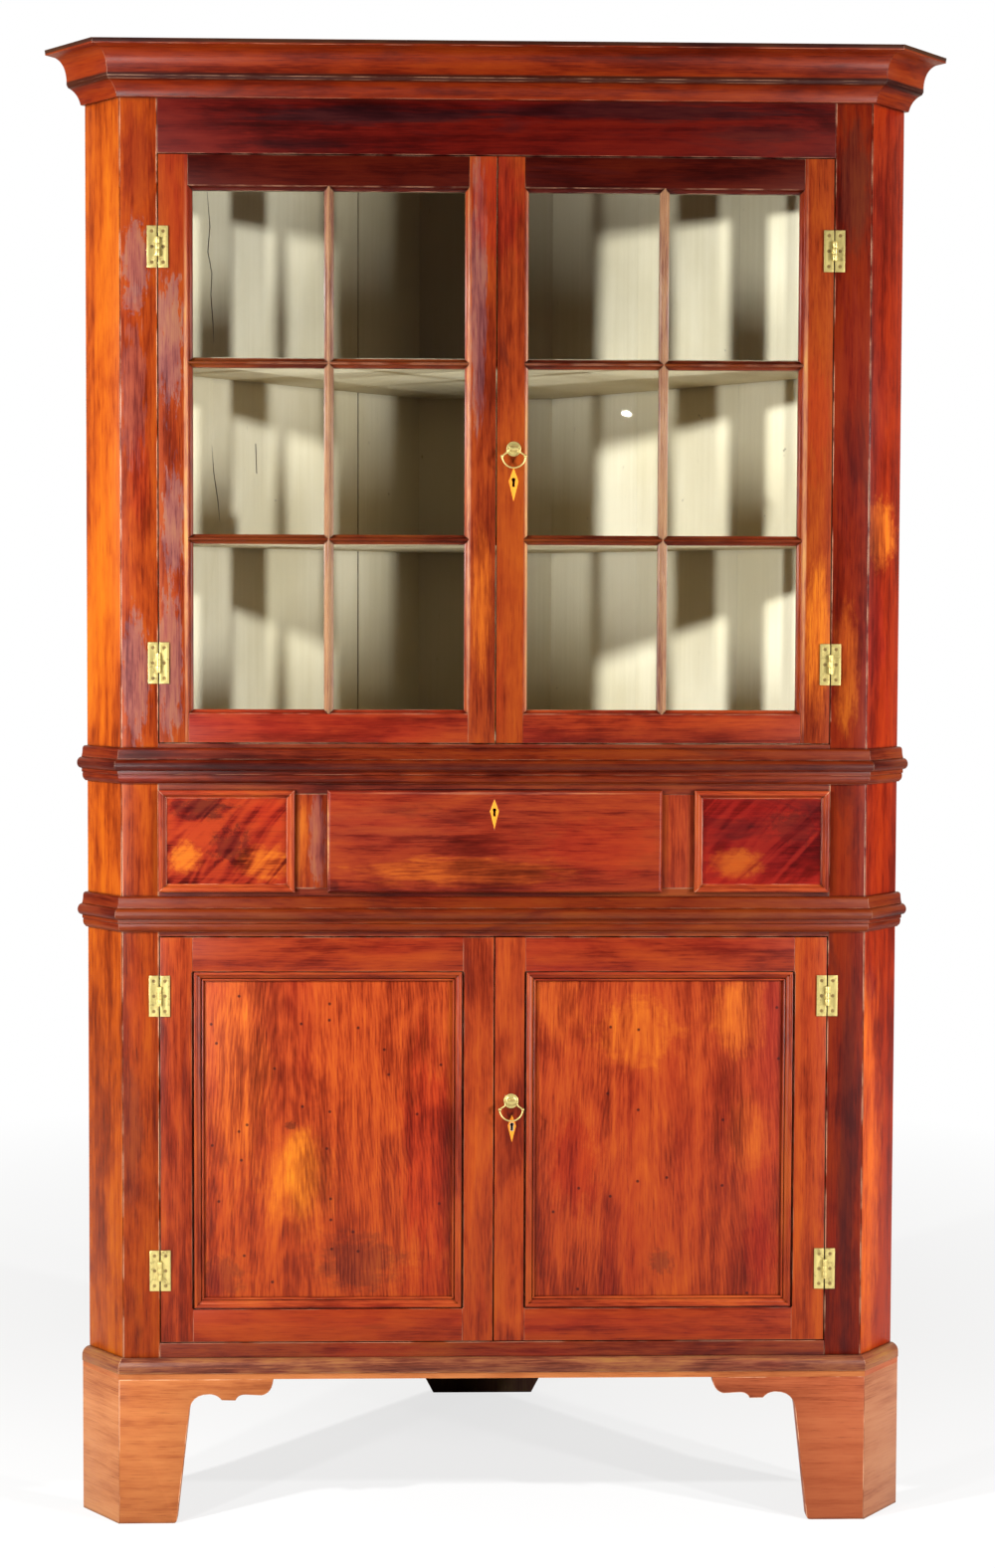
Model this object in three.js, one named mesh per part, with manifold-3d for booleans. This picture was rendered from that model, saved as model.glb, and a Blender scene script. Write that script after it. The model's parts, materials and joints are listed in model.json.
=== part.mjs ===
// Glazed corner cupboard in one case: two sash doors over a drawer and two panelled doors.
// Millimetres, +Z up. While it is built, the face of the case is the plane y = 0 and the back is +Y.
// The finished group is moved so that its origin is the bottom centre of its box.
import * as THREE from 'three';
import { mergeVertices } from 'three/addons/utils/BufferGeometryUtils.js';
import Module from 'manifold-3d';

const wasm = await Module();
wasm.setup();

// Plan of the case
const FACE_HALF = 544;
const STILE_WIDTH = 54;
const RETURN_RUN = 58;
const FACE_THICK = 22;
const BACK_THICK = 16;
const CORNER_THICK = 18;
const CORNER_SIGHT_HALF = 112;
const FRIEZE_PANEL_WIDTH = 198;
const POST_WIDTH = 53.5;

// Heights of the case, stacked from the floor up
const FOOT_HEIGHT = 214.6;
const BOTTOM_RAIL_HEIGHT = 50.1;
const LOWER_OPENING_HEIGHT = 601.2;
const MID_RAIL_HEIGHT = 71.1;
const FRIEZE_HEIGHT = 137.4;
const WAIST_RAIL_HEIGHT = 73.7;
const UPPER_OPENING_HEIGHT = 850.6;
const TOP_RAIL_HEIGHT = 130.3;
const TOP_THICK = 16;
const FLOOR_THICK = 18;
const SHELF_THICK = 12;
const SHELF_LOWER_RAISE = 0;
const SHELF_UPPER_RAISE = 4.5;

// Mouldings: the waist and the mid moulding are of one pattern
const CORNICE_HEIGHT = 68;
const CORNICE_PROJECTION = 70;
const STRING_HEIGHT = 52;
const STRING_PROJECTION = 18.4;
const TORUS_RADIUS = 8.4;
const WAIST_STRING_RISE = 15.6;
const MID_STRING_RISE = 7.1;
const BASE_HEIGHT = 28.4;
const BASE_PROJECTION = 13.2;
const BASE_STRIP_HEIGHT = 8.9;

// Feet
const FOOT_THICK = 22;
const FOOT_PROJECTION = 12;
const FOOT_FLOOR_WIDTH = 84.5;
const FOOT_WORN_CORNER = 6;
const BRACKET_REACH = 226;
const BACK_FOOT_HALF = 84;
const BACK_FOOT_RISE = 95;

// Doors
const DOOR_THICK = 22;
const DOOR_GAP = 1.5;
const MEETING_GAP = 2;
const SASH_STILE = 48.3;
const SASH_MEETING_STILE = 45;
const SASH_TOP_RAIL = 50;
const SASH_BOTTOM_RAIL = 48;
const BAR_WIDTH = 13.8;
const OVOLO = 6;
const OVOLO_QUIRK = 0.9;
const OVOLO_STEP = 0.8;
const REBATE_DEPTH = 9;
const REBATE_WIDTH = 5;
const GLASS_THICK = 3;
const GLAZED_COLUMNS = 2;
const GLAZED_ROWS = 3;
const FRAME_STILE = 47.4;
const FRAME_MEETING_STILE = 44.6;
const FRAME_TOP_RAIL = 49.9;
const FRAME_BOTTOM_RAIL = 48;
const PANEL_MOULDING = 15.5;
const PANEL_RECESS = 9.5;
const PANEL_THICK = 9;
const PANEL_REBATE_WIDTH = 8;

// Frieze panels and drawer
const BEAD_WIDTH = 12;
const BEAD_PROUD = 7;
const BEAD_LAP = 6;
const LIP_PROUD = 7;
const LIP_LAP = 6;
const LIP_ROUND = 5.5;
const DRAWER_CLEAR = 1.2;
const DRAWER_REAR_ROOM = 20;
const DRAWER_SIDE_THICK = 11;
const DRAWER_BOTTOM_THICK = 8;
const DRAWER_BOTTOM_RAISE = 6;
const DRAWER_SIDE_DROP = 12;

// Hinges
const LEAF_HEIGHT = 60;
const LEAF_WIDTH = 14.5;
const LEAF_THICK = 1.8;
const KNUCKLE_RADIUS = 3.2;
const KNUCKLE_HEIGHT = 28;
const KNUCKLE_AXIS_Y = 3.5;
const PIN_RADIUS = 1.2;
const PIN_BORE_RADIUS = 1.6;
const UPPER_HINGE_FROM_TOP = 134;
const UPPER_HINGE_FROM_BOTTOM = 117;
const LOWER_HINGE_FROM_TOP = 87.5;
const LOWER_HINGE_FROM_BOTTOM = 108;

// Pulls
const ROSETTE_RADIUS = 10.8;
const ROSETTE_THICK = 2.4;
const STEM_FOOT_RADIUS = 4.6;
const STEM_RADIUS = 3.1;
const PIVOT_Y = 9;
const BARREL_RADIUS = 3.6;
const BARREL_HALF = 6.4;
const WIRE_RADIUS = 1.15;
const SOCKET_RADIUS = 1.5;
const SOCKET_DEPTH = 4;
const PIVOT_HALF = 8;
const EAR_HALF = 16.8;
const EAR_DROP = 11;
const EAR_BALL_RADIUS = 2.4;
const LOWER_PULL_RAISE = 358.3;
const UPPER_PULL_RAISE = 428.9;
const PULL_FROM_MEETING = 25;

// Clearances between neighbours
const GAP = 0.3;
const SHELF_CLEAR = 1;
const CUT_OVERRUN = 1;

// Outline points, as shares of the size across and the size up that they follow
const CORNICE_SHARES = {
  foot: [0.1, 0],
  smallCoveBend: [0.17, 0.25],
  smallCoveEnd: [0.415, 0.31],
  filletFoot: [0.456, 0.365],
  filletTop: [0.456, 0.475],
  largeCoveLowBend: [0.475, 0.69],
  largeCoveHighBend: [0.56, 0.84],
  largeCoveEnd: [0.74, 0.885],
  capFoot: [0.985, 0.895],
  capTop: [1, 1],
};
const STRING_SHARES = {
  foot: [0.19, 0],
  roundFoot: [0.24, 0.03],
  roundBend: [0.46, 0.06],
  roundEnd: [0.47, 0.2],
  quirk: [0.43, 0.235],
  filletFoot: [0.54, 0.262],
  filletTop: [0.54, 0.34],
  torusCentre: 0.52,
  hollowFoot: [0.56, 0.69],
  hollowBend: [0.46, 0.78],
  hollowEnd: [0.45, 0.9],
  topBend: [0.44, 0.99],
  top: [0.19, 1],
};
const BASE_SHARES = { roundBend: [1, 0.92], roundEnd: [0.25, 1], faceTop: 0.56 };
const BEAD_SHARES = {
  outerFoot: [0, 0.45],
  outerBend: [0.08, 1],
  ridge: [0.42, 1],
  innerBend: [0.62, 0.95],
  innerFoot: [0.7, 0.5],
  hollowBend: [0.78, 0.22],
  field: [1, 0.18],
};
const BRACKET_SHARES = {
  legTop: [0.453, 0.765],
  archBend: [0.462, 0.894],
  archTop: [0.585, 0.894],
  archDip: [0.635, 0.894],
  cuspLeft: [0.665, 0.853],
  cuspRight: [0.755, 0.851],
  scoopBend: [0.768, 0.891],
  scoopEnd: [0.82, 0.891],
  lobeStart: [0.925, 0.885],
  lobeBend: [0.995, 0.9],
  lobeEnd: [1, 1],
};
const PANEL_MOULDING_SHARES = [
  [0.01, 0.34],
  [0.08, 0.36],
  [0.1, 0.16],
  [0.17, 0.07],
  [0.26, 0.05],
  [0.35, 0.1],
  [0.42, 0.24],
  [0.44, 0.42],
  [0.54, 0.46],
  [0.64, 0.56],
  [0.73, 0.72],
  [0.79, 0.86],
  [0.81, 0.7],
  [0.88, 0.63],
  [0.95, 0.7],
  [1, 0.86],
];
const ROSETTE_SHARES = [[1, 0.4], [0.85, 0.6], [0.72, 0.55], [0.6, 1]];
const BAIL_SWEEP_SHARES = [[0.58, 0.5], [0.78, 0.72]];

// Where the parts of the plan meet
const COS45 = Math.SQRT1_2;
const TAN_MITRE = Math.tan(Math.PI / 8);
const COS_MITRE = Math.cos(Math.PI / 8);
const WALL_SUM = FACE_HALF + 2 * RETURN_RUN;
const BACK_SUM = WALL_SUM - BACK_THICK / COS45;
const RETURN_INNER_DIFF = FACE_HALF - FACE_THICK / COS45;
const CORNER_FRONT_Y = BACK_SUM - CORNER_SIGHT_HALF;
const CASE_BACK_Y = CORNER_FRONT_Y + CORNER_THICK;
const DOOR_OPENING_HALF = FACE_HALF - STILE_WIDTH;
const DRAWER_OPENING_HALF = DOOR_OPENING_HALF - FRIEZE_PANEL_WIDTH - POST_WIDTH;
const MITRE_SETBACK = GAP / 2 / COS_MITRE;
const SLANT_GAP = GAP / COS45;

// Levels that follow from the stack of heights
const LOWER_OPENING_BOTTOM = FOOT_HEIGHT + BOTTOM_RAIL_HEIGHT;
const LOWER_OPENING_TOP = LOWER_OPENING_BOTTOM + LOWER_OPENING_HEIGHT;
const FRIEZE_BOTTOM = LOWER_OPENING_TOP + MID_RAIL_HEIGHT;
const FRIEZE_TOP = FRIEZE_BOTTOM + FRIEZE_HEIGHT;
const UPPER_OPENING_BOTTOM = FRIEZE_TOP + WAIST_RAIL_HEIGHT;
const UPPER_OPENING_TOP = UPPER_OPENING_BOTTOM + UPPER_OPENING_HEIGHT;
const CASE_TOP = UPPER_OPENING_TOP + TOP_RAIL_HEIGHT;
const CORNICE_TOP = CASE_TOP + TOP_THICK;

function material(color, roughness, metalness = 0) {
  return new THREE.MeshStandardMaterial({ color, roughness, metalness });
}

const wood = material(0x9c3d1c, 0.35);
const darkWood = material(0x6d2a18, 0.35);
const paleWood = material(0xb98a5a, 0.6);
const paint = material(0xd8cfae, 0.7);
const brass = material(0xc9b06a, 0.3, 1);
const glass = material(0xdfe6df, 0.05);
glass.transparent = true;
glass.opacity = 0.3;

const cupboard = new THREE.Group();

function place(name, geometry, finish) {
  const mesh = new THREE.Mesh(geometry, finish);
  mesh.name = name;
  cupboard.add(mesh);
}

// Solids and booleans
function bare(geometry) {
  const copy = geometry.clone();
  copy.deleteAttribute('normal');
  copy.deleteAttribute('uv');
  return mergeVertices(copy);
}

function toSolid(geometry) {
  const merged = bare(geometry);
  return new wasm.Manifold(new wasm.Mesh({
    numProp: 3,
    vertProperties: new Float32Array(merged.attributes.position.array),
    triVerts: new Uint32Array(merged.index.array),
  }));
}

function toGeometry(solid) {
  const mesh = solid.getMesh();
  const geometry = new THREE.BufferGeometry();
  geometry.setAttribute('position', new THREE.BufferAttribute(new Float32Array(mesh.vertProperties), 3));
  geometry.setIndex([...mesh.triVerts]);
  return geometry;
}

function join(...geometries) {
  return toGeometry(geometries.map(toSolid).reduce((sum, next) => sum.add(next)));
}

function cut(geometry, ...cutters) {
  return toGeometry(cutters.map(toSolid).reduce((rest, next) => rest.subtract(next), toSolid(geometry)));
}

// A closed geometry from points and triangles, turned so that its faces point out
function closed(points, triangles) {
  let volume = 0;
  for (const [a, b, c] of triangles) {
    volume += points[a].dot(new THREE.Vector3().crossVectors(points[b], points[c]));
  }
  const geometry = new THREE.BufferGeometry().setFromPoints(points);
  geometry.setIndex(triangles.flatMap(([a, b, c]) => (volume < 0 ? [a, c, b] : [a, b, c])));
  return geometry;
}

function board(x0, x1, y0, y1, z0, z1) {
  const geometry = new THREE.BoxGeometry(x1 - x0, y1 - y0, z1 - z0);
  return geometry.translate((x0 + x1) / 2, (y0 + y1) / 2, (z0 + z1) / 2);
}

// A plan outline raised from z0 to z1
function prism(outline, z0, z1) {
  const shape = new THREE.Shape(outline.map(([x, y]) => new THREE.Vector2(x, y)));
  const geometry = new THREE.ExtrudeGeometry(shape, { depth: z1 - z0, bevelEnabled: false });
  return geometry.translate(0, 0, z0);
}

// A front outline, x across and z up, carried back from y0 to y1
function slab(shape, y0, y1, curveSegments) {
  const geometry = new THREE.ExtrudeGeometry(shape, { depth: y1 - y0, bevelEnabled: false, curveSegments });
  return geometry.rotateX(Math.PI / 2).translate(0, y1, 0);
}

// A section carried through stations. Each station turns a section point into a place in space.
function sweep(section, stations, isRing) {
  const points = stations.flatMap((station) => section.map((point) => station(point)));
  const count = section.length;
  const triangles = [];
  const runs = isRing ? stations.length : stations.length - 1;
  for (let run = 0; run < runs; run += 1) {
    const here = run * count;
    const there = ((run + 1) % stations.length) * count;
    for (let i = 0; i < count; i += 1) {
      const next = (i + 1) % count;
      triangles.push([here + i, there + i, there + next], [here + i, there + next, here + next]);
    }
  }
  if (!isRing) {
    const last = (stations.length - 1) * count;
    for (const [a, b, c] of THREE.ShapeUtils.triangulateShape(section, [])) {
      triangles.push([a, b, c], [last + a, last + c, last + b]);
    }
  }
  return closed(points, triangles);
}

// Rectangles of different size at successive depths, joined into one solid: a moulded opening's cutter
function rectangleLoft(sections) {
  const unit = [[0, 0], [1, 0], [1, 1], [0, 1]].map(([x, y]) => new THREE.Vector2(x, y));
  const stations = sections.map(({ x0, x1, z0, z1, y }) => (corner) => new THREE.Vector3(
    x0 + corner.x * (x1 - x0), y, z0 + corner.y * (z1 - z0)));
  return sweep(unit, stations, false);
}

// A section of inset and depth carried round a rectangle with mitred corners
function rectangleRing(section, { x0, x1, z0, z1 }) {
  const stations = [
    (point) => new THREE.Vector3(x0 + point.x, point.y, z0 + point.x),
    (point) => new THREE.Vector3(x1 - point.x, point.y, z0 + point.x),
    (point) => new THREE.Vector3(x1 - point.x, point.y, z1 - point.x),
    (point) => new THREE.Vector3(x0 + point.x, point.y, z1 - point.x),
  ];
  return sweep(section, stations, true);
}

// A section of projection and height carried across the face and round both canted returns
function mouldingRun(section) {
  const wallEnd = (side) => (point) => new THREE.Vector3(
    side * (FACE_HALF + RETURN_RUN + point.x * COS45), RETURN_RUN - point.x * COS45, point.y);
  const arris = (side) => (point) => new THREE.Vector3(
    side * (FACE_HALF + point.x * TAN_MITRE), -point.x, point.y);
  return sweep(section, [wallEnd(-1), arris(-1), arris(1), wallEnd(1)], false);
}

const mirrored = (outline) => outline.map(([x, y]) => [-x, y]).reverse();

// Case front
function makeStiles() {
  const inner = FACE_HALF - FACE_THICK * TAN_MITRE - MITRE_SETBACK;
  const right = [
    [DOOR_OPENING_HALF, 0],
    [FACE_HALF - MITRE_SETBACK, 0],
    [inner, FACE_THICK],
    [DOOR_OPENING_HALF, FACE_THICK],
  ];
  place('stile_left', prism(mirrored(right), FOOT_HEIGHT, CASE_TOP), wood);
  place('stile_right', prism(right, FOOT_HEIGHT, CASE_TOP), wood);
}

function makeReturns() {
  const shift = MITRE_SETBACK * COS45;
  const inner = FACE_HALF - FACE_THICK * TAN_MITRE;
  const outerX = FACE_HALF + RETURN_RUN;
  const right = [
    [FACE_HALF + shift, shift],
    [outerX, RETURN_RUN],
    [outerX - FACE_THICK * COS45, RETURN_RUN + FACE_THICK * COS45],
    [inner + shift, FACE_THICK + shift],
  ];
  place('return_left', prism(mirrored(right), FOOT_HEIGHT, CASE_TOP), wood);
  place('return_right', prism(right, FOOT_HEIGHT, CASE_TOP), wood);
}

function makeRails() {
  const half = DOOR_OPENING_HALF;
  const rail = (name, z0, z1) => place(name, board(-half, half, 0, FACE_THICK, z0, z1), wood);
  rail('bottom_rail', FOOT_HEIGHT, LOWER_OPENING_BOTTOM);
  rail('mid_rail', LOWER_OPENING_TOP, FRIEZE_BOTTOM);
  rail('waist_rail', FRIEZE_TOP, UPPER_OPENING_BOTTOM);
  rail('top_rail', UPPER_OPENING_TOP, CASE_TOP);
}

function makeFriezePosts() {
  const inner = DRAWER_OPENING_HALF;
  const outer = inner + POST_WIDTH;
  place('frieze_post_left', board(-outer, -inner, 0, FACE_THICK, FRIEZE_BOTTOM, FRIEZE_TOP), wood);
  place('frieze_post_right', board(inner, outer, 0, FACE_THICK, FRIEZE_BOTTOM, FRIEZE_TOP), wood);
}

// The bead's section runs from its outer foot over a rounded ridge to a hollow beside the flat field
function beadSection() {
  const at = ([acrossShare, proudShare]) => [BEAD_WIDTH * acrossShare, -BEAD_PROUD * proudShare];
  const { outerFoot, outerBend, ridge, innerBend, innerFoot, hollowBend, field } = BEAD_SHARES;
  const path = new THREE.Path();
  path.moveTo(0, 0);
  path.lineTo(...at(outerFoot));
  path.quadraticCurveTo(...at(outerBend), ...at(ridge));
  path.quadraticCurveTo(...at(innerBend), ...at(innerFoot));
  path.quadraticCurveTo(...at(hollowBend), ...at(field));
  path.lineTo(BEAD_WIDTH, 0);
  return path.getPoints(5);
}

function makeFriezePanels() {
  const inner = DRAWER_OPENING_HALF + POST_WIDTH;
  for (const [name, side] of [['frieze_panel_left', -1], ['frieze_panel_right', 1]]) {
    const x0 = side < 0 ? -DOOR_OPENING_HALF : inner;
    const x1 = side < 0 ? -inner : DOOR_OPENING_HALF;
    const fieldY = -BEAD_PROUD * BEAD_SHARES.field[1];
    const field = board(x0, x1, fieldY, FACE_THICK, FRIEZE_BOTTOM, FRIEZE_TOP);
    const outline = { x0, x1, z0: FRIEZE_BOTTOM - BEAD_LAP, z1: FRIEZE_TOP + BEAD_LAP };
    const bead = rectangleRing(beadSection(), outline);
    place(name, join(field, bead), wood);
  }
}

// Mouldings. Each section is drawn from the back at the bottom, out and up, to the back at the top.
function corniceSection() {
  const bottom = CORNICE_TOP - CORNICE_HEIGHT;
  const at = ([outShare, upShare]) => [CORNICE_PROJECTION * outShare, bottom + CORNICE_HEIGHT * upShare];
  const shares = CORNICE_SHARES;
  const path = new THREE.Path();
  path.moveTo(GAP, bottom);
  path.lineTo(...at(shares.foot));
  path.quadraticCurveTo(...at(shares.smallCoveBend), ...at(shares.smallCoveEnd));
  path.lineTo(...at(shares.filletFoot));
  path.lineTo(...at(shares.filletTop));
  const largeCove = [shares.largeCoveLowBend, shares.largeCoveHighBend, shares.largeCoveEnd];
  path.bezierCurveTo(...largeCove.flatMap(at));
  path.lineTo(...at(shares.capFoot));
  path.lineTo(...at(shares.capTop));
  path.lineTo(GAP, CORNICE_TOP);
  return path.getPoints(9);
}

// The pattern of the waist and the mid moulding: a round, a fillet, a torus and a hollow
function stringSection(bottom) {
  const at = ([outShare, upShare]) => [STRING_PROJECTION * outShare, bottom + STRING_HEIGHT * upShare];
  const shares = STRING_SHARES;
  const torusZ = bottom + STRING_HEIGHT * shares.torusCentre;
  const path = new THREE.Path();
  path.moveTo(GAP, bottom);
  path.lineTo(...at(shares.foot));
  path.lineTo(...at(shares.roundFoot));
  path.quadraticCurveTo(...at(shares.roundBend), ...at(shares.roundEnd));
  path.lineTo(...at(shares.quirk));
  path.lineTo(...at(shares.filletFoot));
  path.lineTo(...at(shares.filletTop));
  path.absarc(STRING_PROJECTION - TORUS_RADIUS, torusZ, TORUS_RADIUS, -Math.PI / 2, Math.PI / 2, false);
  path.lineTo(...at(shares.hollowFoot));
  path.quadraticCurveTo(...at(shares.hollowBend), ...at(shares.hollowEnd));
  path.quadraticCurveTo(...at(shares.topBend), ...at(shares.top));
  path.lineTo(GAP, bottom + STRING_HEIGHT);
  return path.getPoints(6);
}

// A strip in line with the feet, and a rounded moulding over it
function baseSection() {
  const top = FOOT_HEIGHT + BASE_HEIGHT;
  const at = ([outShare, upShare]) => [BASE_PROJECTION * outShare, FOOT_HEIGHT + BASE_HEIGHT * upShare];
  const { roundBend, roundEnd, faceTop } = BASE_SHARES;
  const path = new THREE.Path();
  path.moveTo(GAP, FOOT_HEIGHT);
  path.lineTo(FOOT_PROJECTION, FOOT_HEIGHT);
  path.lineTo(FOOT_PROJECTION, FOOT_HEIGHT + BASE_STRIP_HEIGHT);
  path.lineTo(BASE_PROJECTION, FOOT_HEIGHT + BASE_STRIP_HEIGHT);
  path.lineTo(BASE_PROJECTION, FOOT_HEIGHT + BASE_HEIGHT * faceTop);
  path.quadraticCurveTo(...at(roundBend), ...at(roundEnd));
  path.lineTo(GAP, top);
  return path.getPoints(7);
}

function makeMouldings() {
  place('cornice', mouldingRun(corniceSection()), wood);
  place('waist_moulding', mouldingRun(stringSection(FRIEZE_TOP + WAIST_STRING_RISE)), darkWood);
  place('mid_moulding', mouldingRun(stringSection(LOWER_OPENING_TOP + MID_STRING_RISE)), darkWood);
  place('base_moulding', mouldingRun(baseSection()), darkWood);
}

// Inside of the case: the plan that every board inside follows, from its own front edge back
function insideOutline(frontY) {
  const sideX = RETURN_INNER_DIFF + frontY - SLANT_GAP;
  const meetX = (RETURN_INNER_DIFF + BACK_SUM) / 2 - SLANT_GAP;
  const meetY = (BACK_SUM - RETURN_INNER_DIFF) / 2;
  const rearY = CORNER_FRONT_Y - GAP;
  const rearX = BACK_SUM - rearY - SLANT_GAP;
  const half = [[sideX, frontY], [meetX, meetY], [rearX, rearY]];
  return half.concat(mirrored(half));
}

function makeInsideBoards() {
  const level = (name, frontY, z0, z1, finish) => place(name, prism(insideOutline(frontY), z0, z1), finish);
  level('floor_board', FACE_THICK, LOWER_OPENING_BOTTOM - FLOOR_THICK, LOWER_OPENING_BOTTOM, paleWood);
  level('dust_board', FACE_THICK, FRIEZE_BOTTOM - FLOOR_THICK, FRIEZE_BOTTOM, paleWood);
  level('waist_board', FACE_THICK, UPPER_OPENING_BOTTOM - FLOOR_THICK, UPPER_OPENING_BOTTOM, paint);
  const shelfFront = DOOR_THICK + SHELF_CLEAR;
  const [lowerBarZ, upperBarZ] = crossBarLevels();
  const lowerZ = lowerBarZ + SHELF_LOWER_RAISE;
  const upperZ = upperBarZ + SHELF_UPPER_RAISE;
  level('shelf_lower', shelfFront, lowerZ, lowerZ + SHELF_THICK, paint);
  level('shelf_upper', shelfFront, upperZ, upperZ + SHELF_THICK, paint);
}

function makeTopBoard() {
  const rearX = WALL_SUM - CASE_BACK_Y;
  const half = [[FACE_HALF, 0], [FACE_HALF + RETURN_RUN, RETURN_RUN], [rearX, CASE_BACK_Y]];
  place('top_board', prism(half.concat(mirrored(half)), CASE_TOP, CORNICE_TOP), paleWood);
}

// Back boards stand against the room's walls and end on the corner board
function makeBacks() {
  const frontX = (WALL_SUM + RETURN_INNER_DIFF) / 2;
  const right = [
    [frontX - SLANT_GAP, WALL_SUM - frontX],
    [(BACK_SUM + RETURN_INNER_DIFF) / 2 - SLANT_GAP, (BACK_SUM - RETURN_INNER_DIFF) / 2],
    [CORNER_SIGHT_HALF, CORNER_FRONT_Y],
    [WALL_SUM - CORNER_FRONT_Y, CORNER_FRONT_Y],
  ];
  const shifted = right.map(([x, y], i) => (i < 2 ? [x, y + SLANT_GAP] : [x, y]));
  place('back_left', prism(mirrored(shifted), FOOT_HEIGHT, CASE_TOP), paint);
  place('back_right', prism(shifted, FOOT_HEIGHT, CASE_TOP), paint);
}

// The corner board runs down to the floor, where its sawn end is the back foot
function makeCornerBoard() {
  const frontHalf = WALL_SUM - CORNER_FRONT_Y;
  const rearHalf = WALL_SUM - CASE_BACK_Y;
  const plank = prism([
    [-frontHalf, CORNER_FRONT_Y],
    [frontHalf, CORNER_FRONT_Y],
    [rearHalf, CASE_BACK_Y],
    [-rearHalf, CASE_BACK_Y],
  ], 0, CASE_TOP);
  const cornerCutter = (side) => {
    const slope = (frontHalf - BACK_FOOT_HALF) / BACK_FOOT_RISE;
    const shape = new THREE.Shape();
    shape.moveTo(side * (BACK_FOOT_HALF - CUT_OVERRUN * slope), -CUT_OVERRUN);
    shape.lineTo(side * (frontHalf + CUT_OVERRUN), -CUT_OVERRUN);
    shape.lineTo(side * (frontHalf + CUT_OVERRUN), BACK_FOOT_RISE + CUT_OVERRUN / slope);
    return slab(shape, CORNER_FRONT_Y - CUT_OVERRUN, CASE_BACK_Y + CUT_OVERRUN);
  };
  place('corner_board', cut(plank, cornerCutter(-1), cornerCutter(1)), paint);
}

// Front feet: a scrolled bracket under the face, mitred to a plain cheek under the canted return
function bracketShape() {
  const at = ([outShare, upShare]) => [BRACKET_REACH * outShare, FOOT_HEIGHT * upShare];
  const shares = BRACKET_SHARES;
  const shape = new THREE.Shape();
  shape.moveTo(0, 0);
  shape.lineTo(FOOT_FLOOR_WIDTH - FOOT_WORN_CORNER, 0);
  shape.quadraticCurveTo(FOOT_FLOOR_WIDTH, 0, FOOT_FLOOR_WIDTH, FOOT_WORN_CORNER);
  shape.lineTo(...at(shares.legTop));
  shape.quadraticCurveTo(...at(shares.archBend), ...at(shares.archTop));
  shape.quadraticCurveTo(...at(shares.archDip), ...at(shares.cuspLeft));
  shape.lineTo(...at(shares.cuspRight));
  shape.quadraticCurveTo(...at(shares.scoopBend), ...at(shares.scoopEnd));
  shape.lineTo(...at(shares.lobeStart));
  shape.quadraticCurveTo(...at(shares.lobeBend), ...at(shares.lobeEnd));
  shape.lineTo(0, FOOT_HEIGHT);
  return shape;
}

function makeFeet() {
  const arrisX = FACE_HALF + FOOT_PROJECTION * TAN_MITRE;
  const mitreX = (y) => arrisX - (y + FOOT_PROJECTION) * TAN_MITRE;
  const backY = FOOT_THICK - FOOT_PROJECTION;
  for (const [name, side] of [['foot_left', -1], ['foot_right', 1]]) {
    const bracket = slab(bracketShape(), -FOOT_PROJECTION, backY, 6).translate(-arrisX, 0, 0);
    const beyond = prism([
      [-arrisX, -FOOT_PROJECTION],
      [-mitreX(backY), backY],
      [-arrisX - CUT_OVERRUN, backY + CUT_OVERRUN],
      [-arrisX - CUT_OVERRUN, -FOOT_PROJECTION - CUT_OVERRUN],
    ], -CUT_OVERRUN, FOOT_HEIGHT + CUT_OVERRUN);
    const outerX = FACE_HALF + RETURN_RUN + FOOT_PROJECTION * COS45;
    const outerY = RETURN_RUN - FOOT_PROJECTION * COS45;
    const cheek = prism([
      [-arrisX, -FOOT_PROJECTION],
      [-mitreX(backY), backY],
      [-(outerX - FOOT_THICK * COS45), outerY + FOOT_THICK * COS45],
      [-outerX, outerY],
    ], 0, FOOT_HEIGHT);
    const left = join(cut(bracket, beyond), cheek);
    place(name, side < 0 ? left : flipped(left), darkWood);
  }
}

// The mirror image of a piece, left to right
function flipped(geometry) {
  const copy = bare(geometry);
  copy.applyMatrix4(new THREE.Matrix4().makeScale(-1, 1, 1));
  const order = [...copy.index.array];
  const triangles = [];
  for (let i = 0; i < order.length; i += 3) {
    triangles.push(order[i], order[i + 2], order[i + 1]);
  }
  copy.setIndex(triangles);
  return copy;
}

// Doors: where each leaf lies in the opening
function doorSpan(side, bottom, top) {
  const hingeX = DOOR_OPENING_HALF - DOOR_GAP;
  const meetX = MEETING_GAP / 2;
  return {
    x0: side < 0 ? -hingeX : meetX,
    x1: side < 0 ? -meetX : hingeX,
    z0: bottom + DOOR_GAP,
    z1: top - DOOR_GAP,
  };
}

const grown = ({ x0, x1, z0, z1 }, by, y) => ({ x0: x0 - by, x1: x1 + by, z0: z0 - by, z1: z1 + by, y });

function sashSight(span, side) {
  const leftStile = side < 0 ? SASH_STILE : SASH_MEETING_STILE;
  const rightStile = side < 0 ? SASH_MEETING_STILE : SASH_STILE;
  return {
    x0: span.x0 + leftStile,
    x1: span.x1 - rightStile,
    z0: span.z0 + SASH_BOTTOM_RAIL,
    z1: span.z1 - SASH_TOP_RAIL,
  };
}

function paneSize(sight) {
  return {
    width: (sight.x1 - sight.x0 - BAR_WIDTH * (GLAZED_COLUMNS - 1)) / GLAZED_COLUMNS,
    height: (sight.z1 - sight.z0 - BAR_WIDTH * (GLAZED_ROWS - 1)) / GLAZED_ROWS,
  };
}

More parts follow.
